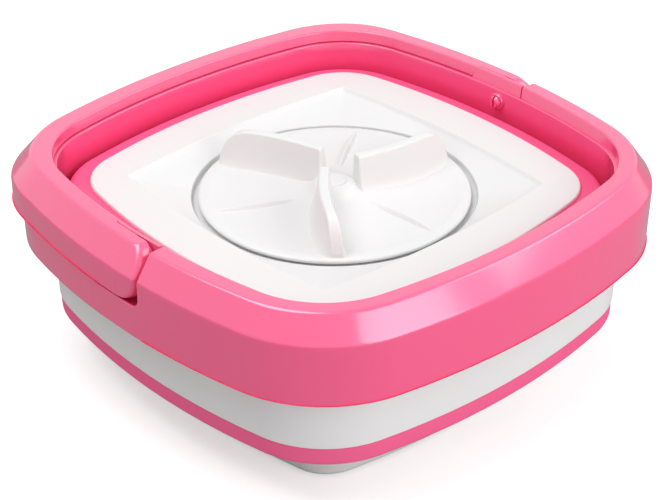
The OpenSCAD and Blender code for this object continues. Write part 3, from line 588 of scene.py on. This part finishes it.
# %% Rim's stations and mesh
half_side = SIDE_STEPS // 2
right_half = [
    OUTLINE[(3 * QUARTER + half_side + k) % (4 * QUARTER)]
    for k in range(2 * QUARTER + 1)
]
right_half = [s for s in right_half if place(s, 0, 0).x > (RECESS_END + 5) * MM]
left_half = [OUTLINE[QUARTER + half_side + k] for k in range(1, 2 * QUARTER)]
passage = [
    # x, section
    (RECESS_END + 3, rim_full), (RECESS_END + 2.6, rim_bulkhead(0)),
] + [
    (RECESS_END + EDGE_R * t, rim_bulkhead(EDGE_R * (1 - math.sqrt(1 - (1 - t) ** 2))))
    for t in (1, 0.6, 0.3, 0.12, 0.03)
] + [
    (
        RECESS_END - RECESS_CORNER * (1 - math.sin(a)),
        rim_low(LOW_LIP_Z + RECESS_CORNER * (1 - math.cos(a))),
    )
    for a in [math.radians(90 - 15 * k) for k in range(7)]
]
rim_stations = (
    right_half + [at_x(1, x) for x, _ in passage] + left_half
    + [at_x(-1, x) for x, _ in passage[::-1]]
)
rim_sections = (
    [rim_full] * len(right_half) + [section for _, section in passage]
    + [rim_low(LOW_LIP_Z)] * len(left_half) + [section for _, section in passage[::-1]]
)
rim_bm = ring_mesh(rim_stations, lambda i: rim_sections[i])
full_run = {i for i, section in enumerate(rim_sections) if section[4][1] > LEDGE_Z}
low_run = set(range(len(rim_sections))) - full_run
round_rows(rim_bm, {0: FOOT_R, 12: 0.7})
round_rows(rim_bm, {1: 0.5, 2: 0.4}, stations=low_run)
round_rows(rim_bm, {2: SHOULDER_R, 4: SHOULDER_R, 5: LIP_R}, stations=full_run)
dress(rim_bm, "rim", PINK, "rim", ["rim_frame"])

# %% [markdown]
# ## The tub's upper wall
#
# The pink wall inside the rim has a flange that the rim is screwed to. On the inside it has a
# small bored boss behind each of the handle's pins, where the pin's split end shows. Behind each
# end of the handle a short lip stands on it, because the handle's own lip has to stop short
# there to swing free.
#
# The wall is a plain ring. A boss is spun with its bore in the section, so no Boolean has to
# cut it.

# %% Upper wall's ring
collar_section = [
    (COLLAR_OUT + 0.4, COLLAR_Z), (COLLAR_OUT, LEDGE_Z - FLANGE_T),
    (SHELF_IN, LEDGE_Z - FLANGE_T), (SHELF_IN, LEDGE_Z), (COLLAR_IN, LEDGE_Z),
    (COLLAR_IN + 0.4, COLLAR_Z),
]
collar_bm = ring_mesh(OUTLINE, lambda i: collar_section)
round_rows(collar_bm, {4: 0.7})
print("upper wall", COLLAR_Z, "to", LEDGE_Z)


# %% Spin a section and join two meshes


def spun(line, steps=128):
    """A full turn of a section of (radius, height) points about the upright axis."""
    bm = bmesh.new()
    verts = [bm.verts.new(Vector((r, 0, z)) * MM) for r, z in line]
    edges = [bm.edges.new(pair) for pair in zip(verts, verts[1:])]
    bmesh.ops.spin(
        bm, geom=verts + edges, cent=(0, 0, 0), axis=(0, 0, 1), angle=math.tau, steps=steps,
        use_merge=True,
    )
    bmesh.ops.remove_doubles(bm, verts=bm.verts, dist=MERGE)
    bmesh.ops.holes_fill(bm, edges=[e for e in bm.edges if e.is_boundary], sides=0)
    bmesh.ops.recalc_face_normals(bm, faces=bm.faces)
    return bm


def absorb(bm, other):
    """Adds the other bmesh to this one and frees it."""
    mesh = bpy.data.meshes.new("absorbed")
    other.to_mesh(mesh)
    other.free()
    bm.from_mesh(mesh)
    bpy.data.meshes.remove(mesh)


def toward_tub(side, y):
    """From upright to lying along Y at the pivot, with up turned towards the tub's middle."""
    return Matrix.Translation(Vector((0, side * y, PIVOT_Z)) * MM) @ Matrix.Rotation(
        side * math.pi / 2, 4, "X",
    )


# %% Bosses and fixed lips
boss_line = [
    # radius, height over the wall
    (3.7, -1.2), (5.25, -1.2), (5.25, 0.9), (5.1, 1.4), (4.75, 1.8), (4.3, 1.9), (3.95, 1.9),
    (3.7, 1.65), (3.7, -1.2),
]
lip_section = [
    (SHELF_IN + 0.3, LEDGE_Z - 0.4), (SHELF_IN + 0.3, TOP_Z), (LIP_IN, TOP_Z),
    (LIP_IN + 0.7, LEDGE_Z - 0.4),
]
LIP_XS = [-LIP_REACH, -10, 0, 10, RECESS_END * (1 - (LIP_IN + 1) / SIDE_R) - 0.15]


def on_arc(radius, z):
    """How far from the pin's axis a circle round it is at this height."""
    return math.sqrt(radius**2 - (z - PIVOT_Z) ** 2)


for side in (-1, 1):
    boss_bm = spun(boss_line, steps=64)
    boss_bm.transform(toward_tub(side, RIM_HALF - COLLAR_IN))
    absorb(collar_bm, boss_bm)
    lip_bm = ring_mesh([at_x(side, x) for x in LIP_XS], lambda i: lip_section, whole=False)
    for v in lip_bm.verts:
        if v.co.x < (LIP_XS[1] - 2) * MM:
            slide(v, side, -on_arc(LIP_REACH, v.co.z / MM))
    round_rows(lip_bm, {2: LIP_R})
    absorb(collar_bm, lip_bm)
dress(collar_bm, "upper_wall", PINK, "rim", ["tub_collar"])

# %% [markdown]
# ## The white ring
#
# A plain hoop between the two soft folds, with a rolled upper edge and a small step low
# on its inner side, where the lower fold is held. A Solidify modifier on a band would give it
# a wall, but not the step, so it is one more ring with its own section.

# %% White ring
step_z = COLLAR_Z - 8
hoop_section = [
    (RING_OUT + 1.7, RING_Z), (RING_OUT, RING_TOP_Z - 0.8), (RING_OUT + 0.4, RING_TOP_Z),
    (RING_IN, RING_TOP_Z), (RING_IN, step_z), (RING_IN + 1.4, step_z - 6), (RING_IN + 1.7, RING_Z),
]
hoop_bm = ring_mesh(OUTLINE, lambda i: hoop_section)
round_rows(hoop_bm, {0: 0.7, 1: 0.4})
dress(hoop_bm, "white_ring", WHITE, "ring", ["middle_ring"])

# %% [markdown]
# ## The soft folds
#
# The folds are moulded from a soft rubbery plastic. The lower one hangs from the white ring,
# turns in a round bend and climbs inside to the edge of the wash floor. Its section is
# drawn as a centre line with round bends and thickened, because the bend is what shows. A cloth
# simulation would find folds of its own, which wouldn't lie where the photograph's do.

# %% Section of a soft wall


def arc(centre, radius, start, stop, steps):
    """Points on an arc in the section plane, angles in degrees."""
    angles = [math.radians(start + (stop - start) * k / steps) for k in range(steps + 1)]
    return [(centre[0] + radius * math.cos(a), centre[1] + radius * math.sin(a)) for a in angles]


def thicken(line, before, after):
    """Two offset copies of a line, out along one side and back along the other."""
    out, back = [], []
    for k, point in enumerate(line):
        a, b = line[max(k - 1, 0)], line[min(k + 1, len(line) - 1)]
        dx, dy = b[0] - a[0], b[1] - a[1]
        size = math.hypot(dx, dy)
        out.append((point[0] - dy / size * before, point[1] + dx / size * before))
        back.append((point[0] + dy / size * after, point[1] - dx / size * after))
    return out + back[::-1]


# %% Lower fold
FOLD_T = 1.7
bend_r = 2.6
outer_line = RING_IN + FOLD_T / 2
inner_line = outer_line + 2 * bend_r
top_in = BORDER_IN - 12.9 + FOLD_T / 2
lower_line = (
    [(outer_line, RING_Z), (outer_line, RING_Z - 4), (outer_line, BAND_Z + bend_r + 1.4)]
    + arc((outer_line + bend_r, BAND_Z + bend_r + 0.85), bend_r, 180, 360, 12)[1:]
    + [
        (inner_line + (top_in - inner_line) * f, BAND_Z + 3.6 + (CLAMP_Z - 5 - BAND_Z - 3.6) * f)
        for f in (0.08, 0.2, 0.35, 0.5, 0.65, 0.8, 0.92)
    ]
    + arc((top_in + 3.4, CLAMP_Z - 3.2), 3.4, 180, 95, 6)
    + [(BORDER_IN - 2.6, CLAMP_Z + 0.7), (BORDER_IN + 2.2, CLAMP_Z + 0.9)]
)
lower_section = thicken(lower_line, -FOLD_T / 2, -FOLD_T / 2)
lower_bm = ring_mesh(OUTLINE, lambda i: lower_section)
lower = dress(lower_bm, "lower_fold_skin", SOFT_PINK, nodes=["lower_fold"], sharp=60)
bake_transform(lower)

# %% [markdown]
# The upper fold is a short hidden bend of the same plastic between the ring and the upper wall.
# It is made in the same way.

# %% Upper fold
UPPER_T = 1.1
upper_out = RING_IN + 0.25 + UPPER_T / 2
upper_in = COLLAR_IN + 0.3 - UPPER_T / 2
upper_bend = (upper_in - upper_out) / 2
upper_low = COLLAR_Z - 6.8 + UPPER_T / 2
upper_line = (
    [(RING_OUT + 0.3, RING_TOP_Z + 0.5), (upper_out - 0.4, RING_TOP_Z + 0.45)]
    + [(upper_out, RING_TOP_Z - down) for down in (1.2, 4, 8, 12)]
    + arc((upper_out + upper_bend, upper_low + upper_bend), upper_bend, 180, 360, 8)
    + [(upper_in, COLLAR_Z)]
)
upper_section = thicken(upper_line, -UPPER_T / 2, -UPPER_T / 2)
upper_bm = ring_mesh(OUTLINE, lambda i: upper_section)
upper = dress(upper_bm, "upper_fold_skin", SOFT_PINK, nodes=["upper_fold"], sharp=60)
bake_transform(upper)

# %% [markdown]
# ## The wash floor
#
# The floor's edge follows the outline, but the sunken field in it is a square with bulging sides
# and sharp corners, and in the field lies a round well for the pulsator. Cuts into a flat plate
# would leave many-sided faces. Here each loop has one vertex for each station, at the same
# bearing, so one loop runs cleanly into the next. The field slopes gently down to the well.

# %% Places on the wash floor
FIELD_IN = 66.2
FIELD_R = 600.0
FIELD_D = 2.4
WELL_R = 80.8
WELL_EDGE_Z = FLOOR_Z - 7.9
field_centre = RIM_HALF - FIELD_IN - FIELD_R


def bearing(station):
    """The station's direction from the machine's axis."""
    p = place(station, BORDER_IN, 0)
    return math.atan2(p.y, p.x)


def polar_spot(station, reach, height):
    """The place at this distance from the axis, at the station's bearing."""
    a = bearing(station)
    return Vector((reach * math.cos(a), reach * math.sin(a), height)) * MM


def field_reach(station, drawn_in):
    """How far the bulging square, drawn in by this much, reaches at the station's bearing."""
    a = bearing(station)
    g = a - math.pi / 2 * round(a / (math.pi / 2))
    r = FIELD_R - drawn_in
    return field_centre * math.cos(g) + math.sqrt(r**2 - (field_centre * math.sin(g)) ** 2)


# %% Wash floor
floor_rows = [
    # loop, inset or reach in millimetres, height
    ("edge", BORDER_IN + 4.8, FLOOR_Z - 2.2),
    ("edge", BORDER_IN, FLOOR_Z - 2.2),
    ("edge", BORDER_IN, FLOOR_Z),
    ("field", 0, FLOOR_Z),
    ("field", 1.8, FLOOR_Z - FIELD_D),
    ("round", WELL_R + 0.4, WELL_EDGE_Z),
    ("round", WELL_R, FLOOR_Z - 11.7),
    ("round", 60, FLOOR_Z - 11.8),
    ("round", 11, FLOOR_Z - 11.9),
    ("round", 11, FLOOR_Z - 20.3),
    ("round", 16, FLOOR_Z - 20.3),
    ("round", 16, FLOOR_Z - 14.7),
    ("round", WELL_R + 3, FLOOR_Z - 14.3),
    ("round", WELL_R + 3, WELL_EDGE_Z - 1.6),
    ("field", 0.6, FLOOR_Z - FIELD_D - 2.2),
    ("edge", BORDER_IN + 6.4, FLOOR_Z - 4.1),
    ("edge", BORDER_IN + 6.4, CLAMP_Z - 4),
    ("edge", BORDER_IN + 4.8, CLAMP_Z - 4),
]


def floor_spot(i, k):
    """Where row k of the wash floor is at station i."""
    loop, amount, height = floor_rows[k]
    station = OUTLINE[i]
    if loop == "edge":
        return place(station, amount, height)
    reach = field_reach(station, amount) if loop == "field" else amount
    return polar_spot(station, reach, height)


wash_bm = swept_mesh(len(OUTLINE), len(floor_rows), floor_spot)
round_rows(wash_bm, {2: 1.0, 3: 0.4, 4: 0.9, 5: 0.5, 6: 1.5})
dress(wash_bm, "wash_floor", WHITE, "base", ["tub_floor"])

# %% [markdown]
# ## The pulsator
#
# The pulsator is a shallow dish with a flat lip round its edge and a round hub in the middle. It
# is spun from half a section, where a cylinder would need many cuts. The seat for the cap over
# its screw is the section's last step.

# %% Disc and hub
PULSATOR_R = 77.4
DISC_Z = FLOOR_Z - 6.6
HUB_Z = FLOOR_Z - 0.8
disc_line = [
    # radius, height
    (9, DISC_Z - 4.8), (9, DISC_Z - 3.3), (73, DISC_Z - 3.3), (PULSATOR_R - 0.3, DISC_Z - 2.6),
    (PULSATOR_R, DISC_Z - 2.0), (PULSATOR_R, DISC_Z - 1.3), (PULSATOR_R - 0.4, DISC_Z - 0.7),
    (PULSATOR_R - 1.1, DISC_Z - 0.3), (PULSATOR_R - 2.3, DISC_Z), (71.6, DISC_Z),
    (70.6, DISC_Z - 0.12), (67.8, DISC_Z - 0.85), (60, DISC_Z - 1.2), (48, DISC_Z - 1.35),
    (36, DISC_Z - 1.1), (27, DISC_Z - 0.6), (20, DISC_Z - 0.1), (16.4, DISC_Z + 0.7),
    (14.2, DISC_Z + 2.0), (12.6, HUB_Z - 2.0), (11.6, HUB_Z - 1.0), (10.2, HUB_Z - 0.3),
    (8.6, HUB_Z), (6.8, HUB_Z), (6.5, HUB_Z - 0.3), (6.5, HUB_Z - 2),
]
pulsator_bm = spun(disc_line)
print("disc", 2 * PULSATOR_R, "mm across")

# %% [markdown]
# Three tall vanes and three low ridges push the water round. A vane has a flat upright end at
# the hub, sways to one side, sinks to the disc's lip and flares out at its foot, wider on the
# side that trails. Bevelled blocks would give straight vanes with even feet. So the vanes are
# lofted: one closed loop of points is extruded from the hub to the lip, and each loop has its
# own height, width and sway, read smoothly from a few keys.

# %% Loft a row of loops


def loft(bm, loops):
    """Extrudes a closed loop of points through a row of loops and fills both ends."""
    order = bm.verts.layers.int.get("order") or bm.verts.layers.int.new("order")
    first = [bm.verts.new(p) for p in loops[0]]
    for k, v in enumerate(first):
        v[order] = k
    edges = [bm.edges.new(pair) for pair in zip(first, first[1:] + first[:1])]
    bmesh.ops.contextual_create(bm, geom=edges)
    for loop in loops[1:]:
        verts, edges = row_out(bm, edges)
        for v in verts:
            v.co = loop[v[order]]
    bmesh.ops.contextual_create(bm, geom=edges)


# %% Vane's keys and sections
VANE_STEPS = 30
VANE_RISE = 14.7
vane_keys = [
    # reach, sway, height share, width share
    (10.9, -5.6, 0.9, 0.84), (11.1, -5.6, 0.965, 0.94), (11.8, -5.65, 0.995, 1.0),
    (14, -5.75, 1, 1), (19, -6.1, 1, 1), (28.5, -6.5, 1, 1), (38, -6.3, 1, 1),
    (47, -5.5, 1, 0.98), (58.5, -3.6, 0.985, 0.98), (65.3, -1.9, 0.9, 1.05),
    (70.5, -0.7, 0.66, 1.15), (73.6, 0.2, 0.34, 1.15), (75.0, 0.5, 0.12, 0.9),
]
VANE_HALF = 2.8
LEADING_FOOT = 0.7
vane_half = [
    # half width, share of the height
    (9.4, 0), (8.3, 0.035), (7.2, 0.09), (6.1, 0.18), (5.2, 0.3), (4.5, 0.44), (3.9, 0.6),
    (VANE_HALF + 0.5, 0.8), (VANE_HALF + 0.15, 0.94), (VANE_HALF - 0.1, 0.98),
    (VANE_HALF - 0.6, 0.998), (VANE_HALF * 0.4, 1),
]


def between(keys, at):
    """Smoothly reads a row of keys at a place from 0 to 1 along it."""
    n = len(keys) - 1
    k = min(int(at * n), n - 1)
    f = at * n - k
    a, b, c, d = keys[max(k - 1, 0)], keys[k], keys[k + 1], keys[min(k + 2, n)]
    return [
        0.5 * (2 * q + (r - p) * f + (2 * p - 5 * q + 4 * r - s) * f**2
               + (3 * q - p - 3 * r + s) * f**3)
        for p, q, r, s in zip(a, b, c, d)
    ]


def vane_loop(key, turned):
    """A flared foot, a leaning side and a round top, then the same back with a slimmer foot."""
    reach, sway, share, wide = key
    base = DISC_Z - 2
    rise = (FLOOR_Z + VANE_RISE - base) * share
    trailing = [(sway - w * wide, base + rise * h) for w, h in vane_half]
    leading = [
        (sway + (VANE_HALF + (w - VANE_HALF) * LEADING_FOOT) * wide, base + rise * h)
        for w, h in vane_half
    ]
    loop = trailing + leading[::-1]
    return [turned @ (Vector((reach, y, z)) * MM) for y, z in loop]


# %% Ridges, and the whole pulsator
RIDGE_START = 24
RIDGE_LENGTH = 50
RIDGE_SWAY = -6
RIDGE_RISE = 2.3
RIDGE_STEPS = 18
VANE_BEARING = 78.5
RIDGE_BEARING = 12.5
VANES = 3


def ridge_loop(f, turned):
    """A low ridge, broad at the hub and thin at the disc's edge."""
    reach = RIDGE_START + RIDGE_LENGTH * f
    a = math.radians(RIDGE_SWAY * f)
    rise = RIDGE_RISE * math.sqrt(max(0.03, math.sin(math.pi * f)))
    w = 2.0 - 1.1 * f
    across = Vector((math.sin(a), -math.cos(a), 0))
    centre = Vector((reach * math.cos(a), reach * math.sin(a), 0))
    half = [(1.5, -2.4), (1.1, -1.1), (0.8, rise * 0.35 - 1), (0.55, rise * 0.8 - 1)]
    half += [(0.2, rise - 1)]
    loop = half + [(-s, z) for s, z in half[::-1]]
    return [
        turned @ ((centre + across * w * s + Vector((0, 0, DISC_Z + z))) * MM) for s, z in loop
    ]


for k in range(VANES):
    vane_turn = Matrix.Rotation(math.radians(VANE_BEARING + 360 / VANES * k), 3, "Z")
    loft(pulsator_bm, [
        vane_loop(between(vane_keys, i / VANE_STEPS), vane_turn) for i in range(VANE_STEPS + 1)
    ])
    ridge_turn = Matrix.Rotation(math.radians(RIDGE_BEARING + 360 / VANES * k), 3, "Z")
    loft(pulsator_bm, [ridge_loop(i / RIDGE_STEPS, ridge_turn) for i in range(RIDGE_STEPS + 1)])
bmesh.ops.recalc_face_normals(pulsator_bm, faces=pulsator_bm.faces)
dress(pulsator_bm, "pulsator_skin", WHITE, "pulsator", ["pulsator"], sharp=50)

# %% [markdown]
# ## The handle
#
# The handle is a channel that follows the outline round the -X half, open below, and a little
# proud of the rim, most at its corners. Each end is a solid piece that is round about its pin,
# so that it can turn in the rim's recess. The channel is swept along the rim's own stations, so
# that the two shoulders line up. A solid bar would look the same from above, but not once it is
# swung up.

# %% Handle's sections
GRIP_T = 2.5
GRIP_LOW = GRIP_Z - 0.1
GRIP_PROUD = 2.5
GRIP_CORNER = 5.0


def swell(station):
    """How far the handle stands proud of the rim at this station."""
    a = abs(station[3] - 180)
    b, c = turn, 90 - turn
    if a < b:
        return GRIP_PROUD + (GRIP_CORNER - GRIP_PROUD) * math.sin(math.radians(45 * a / b)) ** 2
    if a < 45:
        rise = 0.5 + 0.5 * math.sin(math.radians(90 * (a - b) / (45 - b)))
        return GRIP_PROUD + (GRIP_CORNER - GRIP_PROUD) * rise
    if a < c:
        return GRIP_CORNER * (0.5 + 0.5 * math.cos(math.radians(150 * (a - 45) / (c - 45))))
    return GRIP_CORNER * 0.067 * max(0, 1 - (a - c) / (turn * 0.6))


def grip_section(out, lip):
    """The channel's section, this much proud of the rim, with its lip at this inset."""
    return [
        (-out, GRIP_LOW), (-out, SLOPE_Z), (SLOPE_IN - out * 0.6, TOP_Z), (lip, TOP_Z),
        (lip, LEDGE_Z + 0.6), (GRIP_IN, LEDGE_Z + 0.5), (GRIP_IN, GRIP_Z),
        (GRIP_IN - GRIP_T, GRIP_Z), (GRIP_IN - GRIP_T, TOP_Z - GRIP_T),
        (SLOPE_IN + 1.2 - out * 0.6, TOP_Z - GRIP_T), (GRIP_T - out, SLOPE_Z - 0.9),
        (GRIP_T - out - 0.05, GRIP_LOW),
    ]


# %% [markdown]
# The channel's inner lip ends in an arc round the pin, just clear of the fixed lip on the upper
# wall, so that the two don't meet when the handle swings. The stations near the ends are
# straight cuts, and the lip's vertices are slid from there to the arc.

# %% Handle's channel
LIP_CUT = LIP_REACH + 0.4
lip_end = on_arc(LIP_CUT, TOP_Z)
end_xs = [0, -lip_end + 0.2, -lip_end]
grip_stations = (
    [at_x(1, x) for x in end_xs]
    + [s for s in left_half if place(s, 0, 0).x < -(lip_end + 6) * MM]
    + [at_x(-1, x) for x in end_xs[::-1]]
)
last = len(grip_stations) - 1
lipless = {0, 1, last - 1, last}
grip_sections = [
    grip_section(swell(s), GRIP_IN + 0.3 if i in lipless else LIP_IN)
    for i, s in enumerate(grip_stations)
]
grip_bm = ring_mesh(grip_stations, lambda i: grip_sections[i], whole=False)
station_of, point_of = (grip_bm.verts.layers.int[name] for name in ("station", "point"))
for v in grip_bm.verts:
    if v[point_of] == 4 and v[station_of] in (1, 2, last - 2, last - 1):
        slide(v, 1 if v[station_of] < 3 else -1, -on_arc(LIP_CUT, v.co.z / MM))
round_rows(grip_bm, {0: FOOT_R, 1: SHOULDER_R, 2: SHOULDER_R, 6: FOOT_R})
round_rows(grip_bm, {3: LIP_R}, stations=set(range(2, last - 1)))
print("channel", len(grip_stations), "stations")

# %% [markdown]
# An end starts as a spun shape that lies flat: a disc whose edge rolls over in a quarter of an
# ellipse. Planes cut it level at the top and at the bottom and square inside the channel. More
# planes cut it without taking anything away, which gives it rows of vertices at the shoulder and
# at both edges. Each vertex is then pushed in by as much as the channel's section is there, so
# that the end has the same shoulder and the same round edges as the channel that it grows out
# of. A Boolean of a drum and the channel would leave no rows along those edges to round.

# %% Handle's outer surface at the ends
END_ROLL = 3.2
END_DEEP = 7.5
SINK = 0.04


def grip_depth(z):
    """How far in the channel's outer surface is at this height, round edges included."""
    if z < GRIP_LOW + FOOT_R:
        return FOOT_R - math.sqrt(max(0, FOOT_R**2 - (GRIP_LOW + FOOT_R - z) ** 2))
    slope = SLOPE_IN / (TOP_Z - SLOPE_Z)
    lean = math.atan(slope)
    bend = SHOULDER_R / math.tan(lean / 2)
    crown = SHOULDER_R / math.tan((math.pi / 2 - lean) / 2)
    if z < SLOPE_Z - SHOULDER_R:
        return 0
    if z < SLOPE_Z + SHOULDER_R * math.cos(lean):
        return bend - math.sqrt(bend**2 - (z - SLOPE_Z + SHOULDER_R) ** 2)
    if z < TOP_Z - SHOULDER_R * math.cos(lean):
        return (z - SLOPE_Z) * slope
    return SLOPE_IN + SHOULDER_R - math.sqrt(max(0, crown**2 - (z - TOP_Z + crown) ** 2))


def cut_level(bm, height, normal=(0, 0, 1), keep=True):
    """Cuts the mesh by a plane; with keep off, what is on the normal's side goes and is capped."""
    bmesh.ops.bisect_plane(
        bm, geom=bm.verts[:] + bm.edges[:] + bm.faces[:], dist=MERGE,
        plane_co=Vector(normal) * height * MM, plane_no=normal, clear_outer=not keep,
    )
    if not keep:
        bmesh.ops.holes_fill(bm, edges=[e for e in bm.edges if e.is_boundary], sides=0)


# %% One round end
END_LEVELS = [GRIP_LOW + up for up in (0.06, 0.2, 0.45, 0.8)]
END_LEVELS += [SLOPE_Z + up for up in (-1.4, -0.8, -0.1, 0.5, 1.13)]
END_LEVELS += [TOP_Z - down for down in (1.13, 0.7, 0.36, 0.13)]


def handle_end(side):
    """One round end, drawn with x along the side, y into the rim and z up."""
    quarter_turn = [math.radians(90 * k / 8) for k in range(9)]
    line = [(0, 0)] + [
        (END_R - END_ROLL * (1 - math.sin(a)), END_DEEP * (1 - math.cos(a))) for a in quarter_turn
    ] + [(END_R, GRIP_IN), (0, GRIP_IN)]
    bm = spun(line, steps=96)
    for v in bm.verts:
        depth, reach = v.co.z / MM, v.co.xy.length / MM
        angle = math.degrees(math.atan2(v.co.y, v.co.x))
        lean = min(1, max(0, (angle - 25) / 65))  # the roll is slighter towards the top
        if depth < END_DEEP + 0.1:
            depth *= 1 - 0.67 * lean
            if reach > 1:
                reach = END_R - (END_R - reach) * (1 - 0.4 * lean)
        a = math.radians(angle)
        v.co = Vector((reach * math.cos(a), depth, PIVOT_Z + reach * math.sin(a))) * MM
    cut_level(bm, TOP_Z - SINK, keep=False)
    cut_level(bm, -GRIP_LOW - SINK, (0, 0, -1), keep=False)
    cut_level(bm, 3, (-1, 0, 0), keep=False)
    for z in END_LEVELS:
        cut_level(bm, z)
    inner = bm.verts.layers.int.new("inner")
    for v in bm.verts:
        x, depth, z = v.co / MM
        v[inner] = depth > GRIP_IN - 0.01
        pushed = grip_depth(z)
        inset = GRIP_IN - SINK if v[inner] else pushed + SINK + depth * (1 - pushed / GRIP_IN)
        v.co = place(at_x(side, x), inset, z)
    bmesh.ops.recalc_face_normals(bm, faces=bm.faces)
    return bm


# %% [markdown]
# Each pin is a short rod whose far half is split in two prongs, so that it can be pressed
# through the boss and snaps out behind it. A prong is spun and then cut by a plane beside its
# middle.

# %% Pins, and the whole handle
PRONG_GAP = 0.75
pin_line = [(0, 0), (3.5, 0), (3.5, 5.6), (0, 5.6)]
prong_line = [(0, 5), (3.5, 5), (3.5, 8.3), (4.0, 8.6), (4.0, 9.0), (2.9, 10.6), (0, 10.6)]
for side in (1, -1):
    absorb(grip_bm, handle_end(side))
    pins = spun(pin_line, steps=48)
    for half in (1, -1):
        prong = spun(prong_line, steps=48)
        cut_level(prong, -PRONG_GAP, (-half, 0, 0), keep=False)
        absorb(pins, prong)
    pins.transform(toward_tub(side, RIM_HALF - GRIP_IN + 1))
    bmesh.ops.recalc_face_normals(pins, faces=pins.faces)
    absorb(grip_bm, pins)
dress(grip_bm, "handle_grip", PINK, "handle", ["handle"])

# %% [markdown]
# ## The base
#
# The base is a white shell that leans in towards the ground. Only its nearest corner shows
# in the photograph, below the folded ring. The shell is one more ring. The button and the socket
# sit in round pads on its sloping wall. The pads don't keep to the ring's rows, so a Boolean
# cuts two plain holes, and spun pads with round edges cover the cuts.

# %% Base shell
BASE_IN = 49.8
BASE_TOP_IN = 41.4
BASE_T = 2.4
BASE_Z = 1.5
base_section = [
    (BASE_IN + 0.6, BASE_Z), (BASE_IN, BASE_Z + 1.4), (BASE_TOP_IN, CLAMP_Z - 3),
    (BASE_TOP_IN, CLAMP_Z), (BASE_TOP_IN + BASE_T, CLAMP_Z), (BASE_IN + BASE_T, BASE_Z + 1.4),
    (BASE_IN + BASE_T, BASE_Z),
]
base_bm = ring_mesh(OUTLINE, lambda i: base_section)
round_rows(base_bm, {0: 0.5, 1: 0.8})
print("base", BASE_Z, "to", CLAMP_Z)


# %% Pads for the button and the socket
BUTTON_Z = 18.5
SOCKET_Y = 27.0
WALL_X = RIM_HALF - BASE_IN + (BASE_IN - BASE_TOP_IN) * (BUTTON_Z - BASE_Z) / (CLAMP_Z - BASE_Z)
PADS = [(0, 11, 7.3), (SOCKET_Y, 8.2, 4.1)]  # y, radius, bore


def pad_line(radius, bore):
    """The section of a round pad with a bore through it, which stands a little off the wall."""
    return [
        (bore, -6), (radius, -6), (radius, 0.7), (radius - 0.2, 1.1), (radius - 0.6, 1.3),
        (bore + 0.4, 1.3), (bore, 0.9), (bore, -6),
    ]


def cut_out(piece, other):
    """Takes the shape of other out of piece, and removes other."""
    cutter = piece.modifiers.new("hole", "BOOLEAN")
    cutter.operation = "DIFFERENCE"
    cutter.solver = "EXACT"
    cutter.object = other
    seen = bpy.context.evaluated_depsgraph_get()
    mesh = bpy.data.meshes.new_from_object(piece.evaluated_get(seen))
    piece.modifiers.clear()
    piece.data = mesh
    bpy.data.objects.remove(other)


shell = new_object("shell", base_bm)
pads_bm = bmesh.new()
for y, radius, bore in PADS:
    put = Matrix.Translation(Vector((WALL_X, y, BUTTON_Z)) * MM)
    put = put @ Matrix.Rotation(math.pi / 2, 4, "Y")
    plug_bm = spun([(0, -9), (radius - 0.05, -9), (radius - 0.05, 5), (0, 5)], steps=64)
    plug_bm.transform(put)
    cut_out(shell, new_object("plug", plug_bm))
    pad_bm = spun(pad_line(radius, bore), steps=64)
    pad_bm.transform(put)
    absorb(pads_bm, pad_bm)
pads_bm.from_mesh(shell.data)
bpy.data.objects.remove(shell)
dress(pads_bm, "base_shell", WHITE, "base", ["base_housing"])

# %% [markdown]
# ## The rest of the model
#
# The drive, the screws and the electrics are right as they are and only need their finishes.
# Most of them lie inside the base, where a finer skin would never be seen. Each node names its
# material slot in the record, and a table turns that name into a finish.

# %% Finishes for the inner pieces
STEEL = finish(
    "plain_steel", (0.56, 0.57, 0.59), (0.62, 0.63, 0.65), 0.3, Metallic=1.0,
    sizes={"Ripple Size": 400.0},
)
BRASS = finish("turned_brass", (0.62, 0.42, 0.14), (0.68, 0.47, 0.17), 0.28, Metallic=1.0)
BRONZE = finish("sintered_bronze", (0.42, 0.26, 0.11), (0.5, 0.32, 0.15), 0.5, Metallic=1.0)
NYLON = finish("natural_nylon", (0.72, 0.69, 0.59), (0.77, 0.74, 0.65), 0.5)
BLACK = finish("matt_black", (0.022, 0.022, 0.024), (0.035, 0.035, 0.037), 0.5)
RUBBER = finish("dark_rubber", (0.02, 0.02, 0.021), (0.033, 0.033, 0.034), 0.75)
BOARD = finish("board_green", (0.012, 0.09, 0.035), (0.02, 0.12, 0.05), 0.4)
LEAD = finish("lead_red", (0.36, 0.012, 0.012), (0.42, 0.02, 0.018), 0.45)
BY_SLOT = {
    "rim_pink": PINK, "soft_pink": SOFT_PINK, "white_plastic": WHITE, "dark_plastic": BLACK,
    "gear_nylon": NYLON, "steel": STEEL, "bronze": BRONZE, "brass": BRASS, "rubber": RUBBER,
    "board_green": BOARD, "lead_red": LEAD,
}
for part in frame["record"]["subparts"]:
    node = frame["nodes"][part["node"]]
    node.data.materials.clear()
    node.data.materials.append(BY_SLOT[part["material_slot"]])
